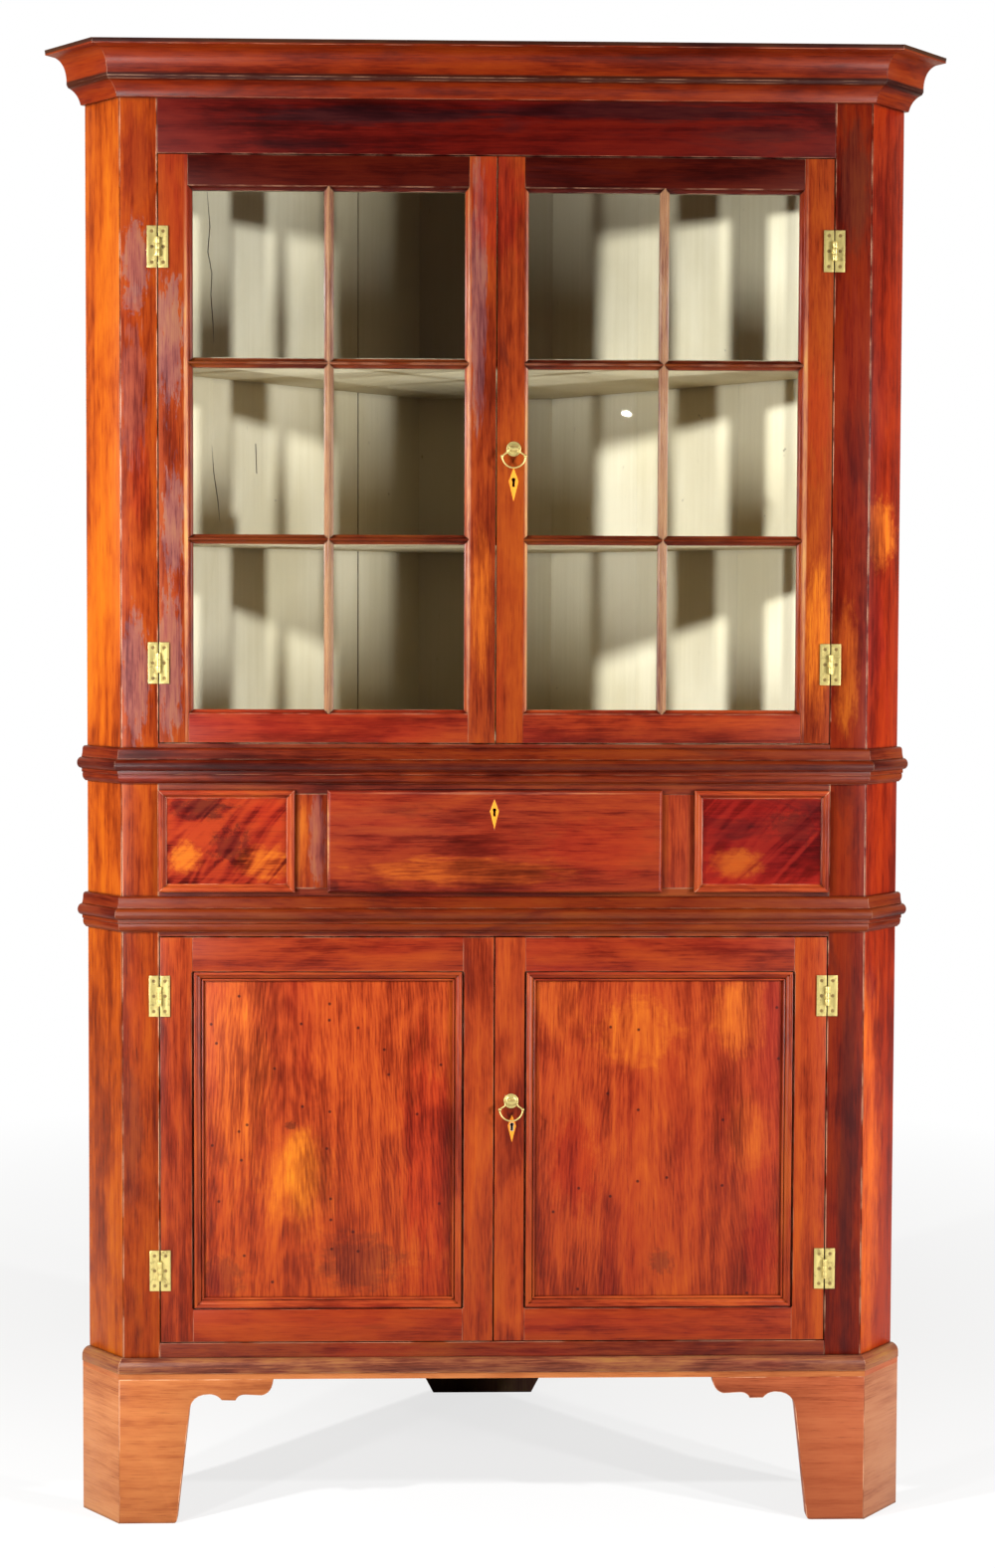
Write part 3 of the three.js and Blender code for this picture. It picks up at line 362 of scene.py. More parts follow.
# %% Group: old shellac, thick and dark in patches
SHELLAC_WAVES = (3.4, 15, 15)
SHELLAC_LEVEL, SHELLAC_REACH, SHELLAC_EDGE = 0.78, 0.36, 7.0
RED_WAVES = (2.3, 11, 11)
RED_LEVEL, RED_REACH, RED_EDGE = 0.75, 0.4, 4.5
RED_PLACE = (5.0, 9.0, 2.0)
tree, given, put = new_group(
    "Old shellac",
    [("Place", "Vector", (0, 0, 0)), ("Dark", "Float", 0.5), ("Red", "Float", 0.5)],
    [("Dark", "Float"), ("Red", "Float")])
level = minus(tree, SHELLAC_LEVEL, times(tree, given["Dark"], SHELLAC_REACH))
cloud = noise(tree, given["Place"], SHELLAC_WAVES, detail=5.0, roughness=0.62, distortion=0.9)
above = times(tree, minus(tree, cloud, level), SHELLAC_EDGE, clamp=True)
red = noise(tree, vector_math(tree, "ADD", given["Place"], RED_PLACE), RED_WAVES, detail=4.0)
red_level = minus(tree, RED_LEVEL, times(tree, given["Red"], RED_REACH))
red_above = times(tree, minus(tree, red, red_level), RED_EDGE, clamp=True)
tree.links.new(above, put[0])
tree.links.new(red_above, put[1])
shellac_group = tree
print("shellac:", len(tree.nodes), "nodes")

# %% Group: a patch at a place on the cupboard, soft or crisp at its edge
LACE = (2.6, 2.6, 2.6)
LACE_REACH = 3.0
PATCH_RIM = 1.1
tree, given, put = new_group(
    "Patch",
    [("Position", "Vector", (0, 0, 0)), ("Centre", "Vector", (0, 0, 0)), ("Reach", "Vector", (1, 1, 1)),
     ("Ragged", "Float", 0.5), ("Soft", "Float", 0.6)],
    [("Share", "Float")])
offset = vector_math(tree, "SUBTRACT", given["Position"], given["Centre"])
near = add(tree, "VectorMath", {0: vector_math(tree, "DIVIDE", offset, given["Reach"])},
           operation="LENGTH").outputs["Value"]
lace = vector_math(tree, "MULTIPLY", given["Position"], vector_math(tree, "DIVIDE", LACE, given["Reach"]))
torn = noise(tree, lace, (1, 1, 1), detail=5.0, roughness=0.72)
fringe = plus(tree, near, times(tree, minus(tree, torn, 0.5), times(tree, given["Ragged"], LACE_REACH)))
start = minus(tree, PATCH_RIM, given["Soft"])
tree.links.new(band(tree, fringe, start, PATCH_RIM, 1, 0), put[0])
patch_group = tree
print("patch:", len(tree.nodes), "nodes")

# %% Group: pin knots, small and dark
KNOT_CELLS = 24
KNOT_SIZE = (0.03, 0.075)
tree, given, put = new_group(
    "Pin knots", [("Position", "Vector", (0, 0, 0)), ("Amount", "Float", 0.0)], [("Share", "Float")])
axes = add(tree, "SeparateXYZ", {0: given["Position"]}).outputs
front = add(tree, "CombineXYZ", {"X": axes["X"], "Y": axes["Z"]}).outputs[0]
cells = add(tree, "TexVoronoi", {"Vector": front, "Scale": KNOT_CELLS}, voronoi_dimensions="2D")
chance = add(tree, "SeparateColor", {0: cells.outputs["Color"]}).outputs[0]
dot = band(tree, cells.outputs["Distance"], *KNOT_SIZE, 1, 0)
chosen = calculate(tree, "LESS_THAN", chance, given["Amount"])
tree.links.new(times(tree, dot, chosen), put[0])
knot_group = tree
print("knots:", len(tree.nodes), "nodes")

# %% Group: rubbed edges with a painted highlight, and grime with painted shade in the hollows
EDGE_LINE_WAVES = (21, 21, 21)
EDGE_LINE_BAND = (0.4, 0.62)
GRIME_AND_SHADE_REACH = 7 * MM
GRIME_AND_SHADE_BAND = (0.25, 0.8)
tree, given, put = new_group(
    "Edge wear and highlight, grime and shade",
    [("Position", "Vector", (0, 0, 0)), ("Eased edge", "Float", 0.0), ("Rub and highlight", "Float", 0.5),
     ("Grime and shade", "Float", 0.5)],
    [("Rubbed and highlit", "Float"), ("Grimy and shaded", "Float")])
# Painted highlight: the eased strip goes pale where this noise lets it, as wear and as the highlight that
# runs along an edge.
broken = band(tree, noise(tree, given["Position"], EDGE_LINE_WAVES, detail=4.0), *EDGE_LINE_BAND)
rubbed_and_highlit = times(tree, times(tree, given["Eased edge"], broken), given["Rub and highlight"], clamp=True)
# Painted shade: ambient occlusion darkens corners and recesses, as grime and as the shade that falls there.
open_sky = add(tree, "AmbientOcclusion", {"Distance": GRIME_AND_SHADE_REACH}, samples=6).outputs["AO"]
shut = band(tree, open_sky, *GRIME_AND_SHADE_BAND, 1, 0)
grimy_and_shaded = times(tree, shut, given["Grime and shade"], clamp=True)
tree.links.new(rubbed_and_highlit, put[0])
tree.links.new(grimy_and_shaded, put[1])
edge_and_shade_group = tree
print("edges and shade:", len(tree.nodes), "nodes")

# %% [markdown]
# A look is a small set of choices: a middle colour, what its darker and brighter streaks are as shares
# of it, and how much there is of each layer. One function turns a look into a material. A board that
# has a mark of its own, such as the flame in a panel or the bloom on a stile, adds patches at their
# places on the cupboard, and a moulding adds level bands. Old shellac tints every wood a little yellow.

# %% A place on the face by a pixel of the picture
IMAGE_SIZE = (1000, IMAGE_LONG)
CASE_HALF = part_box("stile_right")[1].x
FACE_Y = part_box("stile_right")[0].y
PIXEL = 1.448 * MM
PATCH_DEPTH = 0.6


def ray_hit(pixel, point, normal):
    """Where the line of sight through a pixel of the picture meets a plane."""
    width, height = IMAGE_SIZE
    across, up = pixel[0] - width / 2 + SHIFT_PIXELS.x, height / 2 - pixel[1] + SHIFT_PIXELS.y
    flat = Vector((across, up, -FOCAL_PIXELS))
    sight = camera.matrix_world.to_3x3() @ flat
    start = camera.matrix_world.translation
    return start + sight * ((point - start).dot(normal) / sight.dot(normal))


def on_face(pixel, proud=0.0):
    """A pixel's place on the cupboard's face, or on a plane that stands proud of it."""
    return ray_hit(pixel, Vector((0, FACE_Y - proud, 0)), Vector((0, 1, 0)))


# %% The looks of the wood
# A look's rub sets its pale rubbed edges, which are wear and a painted highlight, and its grime value sets
# the grime and painted shade in its hollows.
CHERRY = {
    "mid": (140, 52, 28), "deep": (0.22, 0.13, 0.2), "dark": (0.6, 0.46, 0.6), "bright": (1.4, 2.0, 1.2),
    "rings": 0.1, "curl": 0.0, "shellac": 0.4, "red": 0.45, "rub": 0.25, "grime_and_shade": 0.75, "gloss": 0.3,
    "knots": 0.0, "patches": [], "bands": [],
}
GRAIN_STOPS = (("deep", 0.0), ("dark", 0.28), ("mid", 0.52), ("bright", 1.0))
BRIGHTEST = 2.0
SHELLAC_DARK = colour(50, 14, 15)
SHELLAC_RED = colour(138, 28, 20)
# Pale rubbed edges: wear, and a painted highlight along each edge.
RUBBED_AND_HIGHLIGHT = colour(232, 178, 142)
# The tint of the hollows: grime, and painted shade.
GRIME_AND_SHADE_TINT = colour(30, 13, 9)
OLD_SHELLAC = (0.94, 0.91, 0.84)
BLOOM = (127, 81, 77)
FLAME = (220, 135, 30)
ORANGE = (205, 107, 32)
RED = (140, 32, 19)
SMOKE = (90, 38, 28)
# Near black: dark marks in the wood, and painted shadow lines.
SOOT_AND_SHADOW = (44, 14, 16)
# A pale line: a painted highlight along an edge, with some wear.
PALE_HIGHLIGHT_AND_WEAR = (198, 139, 106)
CRISP, SOFT = 0.22, 0.65
BAND_RIM = (0.7, 1.3)
RED_SHARE, DARK_SHARE, KNOT_SHARE = 0.5, 0.7, 0.85
PORE_BAND = (0.42, 0.3)
PORE_SHARE = 0.35
PORE_BUMP, PORE_DEPTH = 0.12, 0.4 * MM
STREAK_ROUGH, BLOOM_ROUGH = 0.08, 0.3
WOOD_SPECULAR = 0.14
CARRIED = ("grain", "board", "tone", "eased_edge")


# %% A wood is made from its look
def grain_ramp(tree, look, streak):
    """The grain's colours from its darkest streak to its brightest, as shares of the middle one."""
    ramp = add(tree, "ValToRGB", {"Fac": streak})
    stops = ramp.color_ramp.elements
    for key, share in GRAIN_STOPS:
        stop = stops[0] if key == "deep" else stops[-1] if key == "bright" else stops.new(share)
        levels = (1, 1, 1) if key == "mid" else look[key]
        stop.color = [level / BRIGHTEST for level in levels] + [1]
    return ramp.outputs[0]


def marked(tree, look, position):
    """The middle colour with the look's patches and bands on it, and how far bloom dulls it."""
    surface, dull = colour(*look["mid"]), 0.0
    for x, y, wide, high, tint, strength, ragged in look["patches"]:
        reach = (wide * PIXEL, PATCH_DEPTH, high * PIXEL)
        patch = add(tree, "Group", {
            "Position": position, "Centre": on_face((x, y)), "Reach": reach, "Ragged": ragged,
            "Soft": CRISP if tint == BLOOM else SOFT}, node_tree=patch_group)
        share = times(tree, patch.outputs[0], strength)
        surface = blended(tree, share, surface, colour(*tint))
        if tint == BLOOM:
            dull = calculate(tree, "MAXIMUM", share, dull)
    height = add(tree, "SeparateXYZ", {0: position}).outputs["Z"]
    for level, half, tint, strength in look["bands"]:
        away = calculate(tree, "ABSOLUTE", minus(tree, height, level))
        share = band(tree, away, half * BAND_RIM[0], half * BAND_RIM[1], strength, 0)
        surface = blended(tree, share, surface, colour(*tint))
    return surface, dull


def wood(name, **changes):
    """A wood material from the cherry look, with some of its values changed."""
    look = {**CHERRY, **changes}
    material, tree = new_material(name)
    carried = {key: add(tree, "Attribute", attribute_name=key).outputs for key in CARRIED}
    position = add(tree, "TexCoord").outputs["Object"]
    grain = add(tree, "Group", {
        "Grain": carried["grain"]["Vector"], "Board": carried["board"]["Fac"], "Rings": look["rings"],
        "Curl": look["curl"]}, node_tree=grain_group).outputs
    streaks = grain_ramp(tree, look, plus(tree, grain["Streak"], carried["tone"]["Fac"]))
    surface, dull = marked(tree, look, position)
    lift = [share * BRIGHTEST for share in OLD_SHELLAC]
    if isinstance(surface, tuple):
        surface = [part * share for part, share in zip(surface, lift)]
    else:
        surface = vector_math(tree, "MULTIPLY", surface, lift)
    surface = vector_math(tree, "MULTIPLY", streaks, surface)
    shellac = add(tree, "Group", {"Place": grain["Place"], "Dark": look["shellac"], "Red": look["red"]},
                  node_tree=shellac_group).outputs
    edges_and_shade = add(tree, "Group", {"Position": position, "Eased edge": carried["eased_edge"]["Fac"], "Rub and highlight": look["rub"],
                               "Grime and shade": look["grime_and_shade"]}, node_tree=edge_and_shade_group).outputs
    layers = [(times(tree, shellac["Red"], RED_SHARE), SHELLAC_RED),
              (times(tree, shellac["Dark"], DARK_SHARE), SHELLAC_DARK)]
    if look["knots"]:
        knots = add(tree, "Group", {"Position": position, "Amount": look["knots"]}, node_tree=knot_group)
        layers.append((times(tree, knots.outputs[0], KNOT_SHARE), SHELLAC_DARK))
    # After the pores come the pale rubbed edges, wear with a painted highlight, and grime with painted shade
    # in the hollows.
    layers += [(times(tree, band(tree, grain["Pore"], *PORE_BAND), PORE_SHARE), SHELLAC_DARK),
               (edges_and_shade["Rubbed and highlit"], RUBBED_AND_HIGHLIGHT), (edges_and_shade["Grimy and shaded"], GRIME_AND_SHADE_TINT)]
    for share, tint in layers:
        surface = blended(tree, share, surface, tint)
    rough = plus(tree, times(tree, grain["Streak"], STREAK_ROUGH), look["gloss"])
    rough = plus(tree, rough, times(tree, dull, BLOOM_ROUGH))
    bump = add(tree, "Bump", {"Height": grain["Pore"], "Strength": PORE_BUMP, "Distance": PORE_DEPTH})
    shader = add(tree, "BsdfPrincipled", {"Base Color": surface, "Roughness": rough,
                                          "Normal": bump.outputs[0], "Specular IOR Level": WOOD_SPECULAR})
    show(tree, shader)
    return material


# %% Patches by their pixel in the picture: x, y, half width, half height, tint, strength, raggedness
STILE_BLOOM = [(137, 165, 18, 66, (112, 32, 20), 0.55, 0.6), (137, 262, 13, 38, BLOOM, 0.7, 0.9),
               (134, 300, 10, 14, BLOOM, 0.6, 1.0), (136, 680, 14, 62, BLOOM, 0.7, 0.9),
               (134, 400, 12, 70, BLOOM, 0.3, 1.1), (140, 480, 12, 60, RED, 0.4, 0.6),
               (132, 1140, 14, 90, SMOKE, 0.5, 0.7)]
SASH_BLOOM_AND_HIGHLIGHTS = [(171, 345, 14, 62, BLOOM, 0.75, 1.1), (174, 526, 10, 56, BLOOM, 0.75, 1.0),
              (171, 668, 13, 70, BLOOM, 0.7, 1.1), (481, 290, 8, 130, BLOOM, 0.75, 0.9),
              (484, 600, 12, 90, ORANGE, 0.4, 0.6), (500, 210, 30, 70, RED, 0.6, 0.6),
              (822, 640, 14, 90, ORANGE, 0.55, 0.5), (822, 420, 14, 70, RED, 0.4, 0.7),
              # The four long pale lines down the sashes' inner edges are a painted highlight along the
              # ovolos, with wear.
              (187, 465, 2.6, 330, PALE_HIGHLIGHT_AND_WEAR, 0.7, 0.3), (471, 465, 2.6, 330, PALE_HIGHLIGHT_AND_WEAR, 0.7, 0.3),
              (530, 465, 2.6, 330, PALE_HIGHLIGHT_AND_WEAR, 0.6, 0.3), (809, 465, 2.6, 330, PALE_HIGHLIGHT_AND_WEAR, 0.6, 0.3)]
STILE_DARK = [(858, 190, 22, 80, (82, 32, 23), 0.75, 0.6), (856, 420, 22, 160, (104, 26, 18), 0.7, 0.6),
              (850, 670, 16, 70, ORANGE, 0.3, 0.6), (852, 1140, 12, 220, SOOT_AND_SHADOW, 0.55, 0.6)]
RETURN_MARKS = [(892, 190, 22, 80, (130, 40, 20), 0.5, 0.6), (888, 535, 22, 40, ORANGE, 0.6, 0.6),
                (886, 400, 18, 70, (120, 32, 20), 0.55, 0.7), (882, 640, 16, 60, RED, 0.6, 0.7),
                (876, 995, 9, 24, (110, 22, 20), 0.8, 0.8), (870, 1180, 22, 230, (206, 92, 36), 0.6, 0.5)]
# Darker bands along the top rail, strongest along its upper edge under the cornice.
TOP_RAIL_DARK_BANDS = [(370, 116, 150, 11, SOOT_AND_SHADOW, 0.9, 0.7), (640, 112, 190, 11, SOOT_AND_SHADOW, 0.8, 0.8),
                 (760, 135, 70, 10, SOOT_AND_SHADOW, 0.5, 0.7), (300, 145, 60, 6, SOOT_AND_SHADOW, 0.5, 0.8)]
LEFT_FIELD = [(240, 1080, 36, 130, ORANGE, 0.3, 0.6), (303, 1180, 20, 52, FLAME, 0.5, 0.4),
              (300, 1190, 44, 60, ORANGE, 0.35, 0.5), (430, 1160, 30, 130, (160, 40, 22), 0.6, 0.7),
              (360, 1270, 50, 34, SMOKE, 0.5, 0.8), (222, 1285, 26, 26, SMOKE, 0.5, 0.9),
              (430, 1290, 36, 30, RED, 0.5, 0.8), (292, 1133, 7, 5, SOOT_AND_SHADOW, 0.6, 0.9)]
RIGHT_FIELD = [(745, 1020, 34, 50, ORANGE, 0.4, 0.6), (752, 1140, 26, 46, ORANGE, 0.2, 0.6),
               (578, 1170, 30, 60, RED, 0.65, 0.8), (560, 1010, 30, 50, ORANGE, 0.15, 0.6),
               (764, 1255, 22, 44, RED, 0.6, 0.8), (665, 1270, 14, 14, SMOKE, 0.5, 0.9),
               (640, 1040, 50, 40, ORANGE, 0.3, 0.8)]
FRIEZE_LEFT = [(200, 812, 34, 14, SOOT_AND_SHADOW, 0.7, 0.9), (232, 850, 22, 22, SOOT_AND_SHADOW, 0.6, 1.0),
               (268, 868, 34, 20, ORANGE, 0.35, 0.5), (186, 862, 18, 18, ORANGE, 0.35, 0.5),
               (270, 818, 22, 16, RED, 0.6, 0.8)]
FRIEZE_RIGHT = [(765, 845, 80, 44, (96, 16, 18), 0.6, 0.9), (740, 868, 30, 18, ORANGE, 0.25, 0.5),
                (800, 830, 30, 22, SOOT_AND_SHADOW, 0.5, 1.0)]
POST_BLOOM = [(319, 845, 8, 46, BLOOM, 0.45, 0.9), (302, 845, 10, 50, ORANGE, 0.3, 0.5)]
DRAWER_TONES_AND_HIGHLIGHTS = [(400, 830, 90, 24, (126, 48, 30), 0.5, 0.8), (470, 876, 120, 16, ORANGE, 0.3, 0.7),
                (600, 850, 70, 34, RED, 0.35, 0.8), (336, 890, 6, 6, SOOT_AND_SHADOW, 0.5, 0.4),
                # The two pale lines are a painted highlight on the left and top edges of the drawer's lip.
                (329.5, 846, 1.8, 52, PALE_HIGHLIGHT_AND_WEAR, 0.5, 0.3), (495, 797, 168, 1.4, PALE_HIGHLIGHT_AND_WEAR, 0.3, 0.4)]
# Painted shadow: thin dark lines on the rails just above and below the drawer's lip.
DRAWER_SHADOW = [(495, 794.2, 170, 1.5, SOOT_AND_SHADOW, 0.95, 0.1), (495, 899, 170, 2.2, SOOT_AND_SHADOW, 0.9, 0.1)]
RAIL_TONES = [(667, 742, 170, 14, (112, 36, 20), 0.6, 0.6)]

# %% Bands by their level: height, half height, tint, strength
TORUS_PROUD = 24 * MM
TORUS_DARK = [(on_face((500, 771), TORUS_PROUD).z, 4.6 * MM, (70, 24, 17), 0.8),
              (on_face((500, 921), TORUS_PROUD).z, 4.6 * MM, (98, 42, 27), 0.5)]
CORNICE_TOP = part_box("cornice")[1].z
CORNICE_DARK = [(CORNICE_TOP - 1 * MM, 4.4 * MM, (50, 27, 19), 0.95),
                (CORNICE_TOP - 43.5 * MM, 4.6 * MM, (42, 15, 10), 0.92)]

# %% The woods
LOOKS = {
    "cherry": {},
    "cherry_stile_left": dict(mid=(141, 54, 16), rub=0.6, patches=STILE_BLOOM),
    "cherry_stile_right": dict(mid=(107, 27, 9), shellac=0.6, rub=0.5, patches=STILE_DARK),
    "cherry_return_left": dict(mid=(153, 66, 14), shellac=0.1, red=0.1),
    "cherry_return_right": dict(mid=(133, 33, 6), shellac=0.3, patches=RETURN_MARKS),
    "cherry_top_rail": dict(mid=(80, 10, 4), shellac=0.55, red=0.5, patches=TOP_RAIL_DARK_BANDS),
    "cherry_dark_rail": dict(mid=(63, 11, 4), shellac=0.6, red=0.2),
    "cherry_red": dict(mid=(108, 41, 23), shellac=0.6, red=0.6, patches=DRAWER_SHADOW),
    "figured_left": dict(mid=(133, 36, 20), curl=0.42, shellac=0.5, red=0.6, patches=FRIEZE_LEFT),
    "figured_right": dict(mid=(118, 19, 15), curl=0.32, shellac=0.75, red=0.8, patches=FRIEZE_RIGHT),
    "cherry_moulding": dict(mid=(104, 34, 11), shellac=0.5, red=0.4, rub=0.35, bands=TORUS_DARK),
    "cherry_sash": dict(mid=(134, 51, 19), patches=SASH_BLOOM_AND_HIGHLIGHTS),
    "cherry_door": dict(mid=(147, 55, 25)),
    "cherry_rail": dict(mid=(133, 44, 21), red=0.6, patches=RAIL_TONES),
    # The upright bars are set paler, with strong rubbed edges, partly as a painted highlight along their
    # ovolos.
    "cherry_bar": dict(mid=(145, 106, 79), shellac=0.15, red=0.15, rub=1.2, bright=(1.3, 1.5, 1.5)),
    "cherry_cross": dict(mid=(99, 39, 17), shellac=0.5, red=0.4, rub=0.25),
    "cherry_bead": dict(mid=(150, 59, 30), rub=0.8, grime_and_shade=0.9),
    "cherry_drawer": dict(mid=(127, 42, 23), shellac=0.35, patches=DRAWER_TONES_AND_HIGHLIGHTS),
    "cherry_cornice": dict(mid=(111, 33, 7), shellac=0.4, red=0.3, rub=0.2, bands=CORNICE_DARK),
    "cherry_base": dict(mid=(135, 81, 54), rub=0.9),
    "panel_left": dict(mid=(164, 64, 27), shellac=0.3, red=0.4, rings=0.3, knots=0.3, patches=LEFT_FIELD),
    "panel_right": dict(mid=(155, 58, 27), shellac=0.3, red=0.5, rings=0.25, knots=0.16,
                        patches=RIGHT_FIELD),
    "post_left": dict(mid=(129, 45, 18), patches=POST_BLOOM),
    "plain_board": dict(mid=(160, 120, 80), deep=(0.45, 0.38, 0.3), dark=(0.72, 0.66, 0.6),
                        bright=(1.3, 1.4, 1.5), shellac=0.1, red=0.0, rub=0.2, rings=0.3, gloss=0.6),
}
FOOT = dict(deep=(0.55, 0.42, 0.4), dark=(0.84, 0.76, 0.74), bright=(1.15, 1.3, 1.35), shellac=0.1,
            red=0.05, rub=0.8)
FOOT_MIDS = {"foot_left": (182, 109, 64), "foot_right": (162, 85, 54), "cheek_left": (184, 120, 79),
             "cheek_right": (161, 105, 77)}
LOOKS.update({name: dict(FOOT, mid=mid) for name, mid in FOOT_MIDS.items()})
LOOKS["dark_foot"] = dict(mid=(60, 38, 29), shellac=0.4, red=0.0)
LOOKS["boxwood"] = dict(mid=(240, 150, 50), deep=(0.6, 0.5, 0.5), dark=(0.85, 0.78, 0.8),
                        bright=(1.1, 1.25, 1.3), shellac=0.0, red=0.0, rings=0.1, rub=0.0, grime_and_shade=0.5)
FINISHES = {name: wood(name, **look) for name, look in LOOKS.items()}
print("woods:", ", ".join(FINISHES))

# %% [markdown]
# A board leaves the saw with sharp corners, and two hundred years of dusters round them. A render gives
# a sharp edge away at once, because no highlight runs along it. So each board is a copy of its frame
# part with the outer edges bevelled by about a millimetre, and the bevelled strip is marked, so that the
# finish makes it pale: wear, and a painted highlight along the edge.
# The frame's meshes are loose triangles, which are welded and made whole faces first.

# %% Copies of frame parts
WELD = 0.01 * MM
FLAT_ANGLE = math.radians(0.5)
EASE_ANGLE = math.radians(32)
SMOOTH_ANGLE = math.radians(38)
INSIDE_FACING = 0.7
STRAIGHT = 0.9999
SAME = 0.0001
# How far the edges of each kind of board are rounded, in millimetres.
EASED = {"board": 0.9, "arris": 1.5, "cornice": 0.6, "moulding": 0.4, "foot": 1.1, "sash": 0.7, "stile": 0.5,
         "rail": 0.6, "bead": 0.35, "panel": 0.4, "front": 0.5, "plain": 0.8, "plank": 0.15, "shelf": 1.2,
         "leaf": 0.25, "pull": 0.2, "lock": 0.8, "bolt": 0.3, "lining": 0.25}
X, Y, Z = Vector((1, 0, 0)), Vector((0, 1, 0)), Vector((0, 0, 1))


def whole(bm):
    """Welds the corners and dissolves the edges that cross a flat face."""
    bmesh.ops.remove_doubles(bm, verts=bm.verts, dist=WELD)
    bmesh.ops.dissolve_limit(bm, angle_limit=FLAT_ANGLE, verts=bm.verts, edges=bm.edges)
    return bm


def copy_of(node):
    bm = bmesh.new()
    bm.from_mesh(frame["nodes"][node].data)
    return whole(bm)


def prism(outline, y0, y1):
    """A front outline of x and z, carried back from y0 to y1."""
    bm = bmesh.new()
    front = [bm.verts.new((x, y0, z)) for x, z in outline]
    back = [bm.verts.new((x, y1, z)) for x, z in outline]
    bm.faces.new(front)
    bm.faces.new(back)
    for i in range(len(outline)):
        bm.faces.new((front[i - 1], front[i], back[i], back[i - 1]))
    bmesh.ops.recalc_face_normals(bm, faces=bm.faces)
    return bm


def box_mesh(low, high):
    """A box between two corners."""
    outline = [(low[0], low[2]), (high[0], low[2]), (high[0], high[2]), (low[0], high[2])]
    return prism(outline, low[1], high[1])


def boolean(bm, cutter, operation):
    """A new mesh: bm kept inside the cutter, cut by it or joined to it."""
    pair = []
    for source in (bm, cutter):
        item = bpy.data.objects.new("work", bpy.data.meshes.new("work"))
        source.to_mesh(item.data)
        bpy.context.scene.collection.objects.link(item)
        pair.append(item)
    modifier = pair[0].modifiers.new("cut", "BOOLEAN")
    modifier.operation = operation
    modifier.object = pair[1]
    modifier.solver = "EXACT"
    result = bmesh.new()
    result.from_object(pair[0], bpy.context.evaluated_depsgraph_get())
    for item in pair:
        bpy.data.meshes.remove(item.data)
    return whole(result)


def ease(bm, kind):
    """Rounds the outer edges as far as this kind of board is, and marks the rounded strip, which the finish
    makes pale with wear and a painted highlight.
    """
    layer = bm.faces.layers.float.get("eased_edge") or bm.faces.layers.float.new("eased_edge")
    bm.normal_update()
    edges = [edge for edge in bm.edges
             if edge.is_manifold and edge.is_convex and edge.calc_face_angle(0) > EASE_ANGLE]
    if kind and edges:
        made = bmesh.ops.bevel(bm, geom=edges, offset=EASED[kind] * MM, offset_type="OFFSET", segments=2,
                               profile=0.5, affect="EDGES", clamp_overlap=True)
        for face in made["faces"]:
            face[layer] = 1.0
    return bm


# %% A board
class Board:
    """A mesh with its finish, the way its grain runs, and how its edges are eased, if they are. Heart is
    where its arches centre. The faces that look inward take the paint."""

    def __init__(self, bm, finish, along, across, eased="board", tone=0.0, heart=None, inward=None):
        self.bm = ease(bm, eased)
        self.finish = finish
        self.along, self.across = along.normalized(), across.normalized()
        self.depth = self.along.cross(self.across)
        self.tone = tone
        self.inward = inward
        places = [vert.co for vert in bm.verts]
        self.heart = heart or sum(places, Vector()) / len(places)


# %% A piece made of boards
def link_mesh(name, mesh):
    piece = bpy.data.objects.new(name, mesh)
    bpy.context.scene.collection.objects.link(piece)
    return piece


def lies_flat(normal):
    """Whether a face looks straight along an axis or squarely out of a canted side."""
    return max(abs(part) for part in normal) > STRAIGHT or abs(abs(normal.x) - abs(normal.y)) < SAME


def joined(name, boards):
    """One mesh of all the boards, which carries the grain, seed, tone and eased edges of each."""
    verts, faces, values = [], [], {key: [] for key in CARRIED}
    smooth, index, used = [], [], []
    random_board = random.Random(name)
    for board in boards:
        for key in (board.finish, "paint") if board.inward else (board.finish,):
            if key not in used:
                used.append(key)
        seed = random_board.random()
        start = len(verts)
        board.bm.verts.index_update()
        layer = board.bm.faces.layers.float["eased_edge"]
        for vert in board.bm.verts:
            offset = vert.co - board.heart
            verts.append(vert.co.copy())
            values["grain"] += [offset.dot(axis) for axis in (board.along, board.across, board.depth)]
            values["board"].append(seed)
            values["tone"].append(board.tone)
        for face in board.bm.faces:
            faces.append([start + vert.index for vert in face.verts])
            values["eased_edge"].append(face[layer])
            smooth.append(face[layer] > 0 or not lies_flat(face.normal))
            painted = board.inward is not None and face.normal.dot(board.inward) > INSIDE_FACING
            index.append(used.index("paint" if painted else board.finish))
        board.bm.free()
    mesh = bpy.data.meshes.new(name)
    mesh.from_pydata(verts, [], faces)
    for key, numbers in values.items():
        kind, socket = ("FLOAT_VECTOR", "vector") if key == "grain" else ("FLOAT", "value")
        layer = mesh.attributes.new(key, kind, "FACE" if key == "eased_edge" else "POINT")
        layer.data.foreach_set(socket, numbers)
    for key in used:
        mesh.materials.append(FINISHES[key])
    mesh.polygons.foreach_set("use_smooth", smooth)
    mesh.polygons.foreach_set("material_index", index)
    mesh.set_sharp_from_angle(angle=SMOOTH_ANGLE)
    mesh.validate()
    return mesh


def assemble(name, boards, node, stands_for=True):
    """Joins boards into one piece that rides with the node's body and, mostly, stands for the node."""
    piece = link_mesh(name, joined(name, boards))
    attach(piece, BODY_OF[node])
    if stands_for:
        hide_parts(node)
    return piece


def one_board(prefix, node, slot, finish, along, across, **more):
    """A piece that is a single board, with the shape of its frame part."""
    return assemble(prefix + node, [Board(copy_of(node), finish, along, across, **more)], node)


# %% [markdown]
# The face frame comes next: the stiles and the canted strips beside them run the full height with
# upright grain, and the rails and frieze posts sit between them. Each is one board.

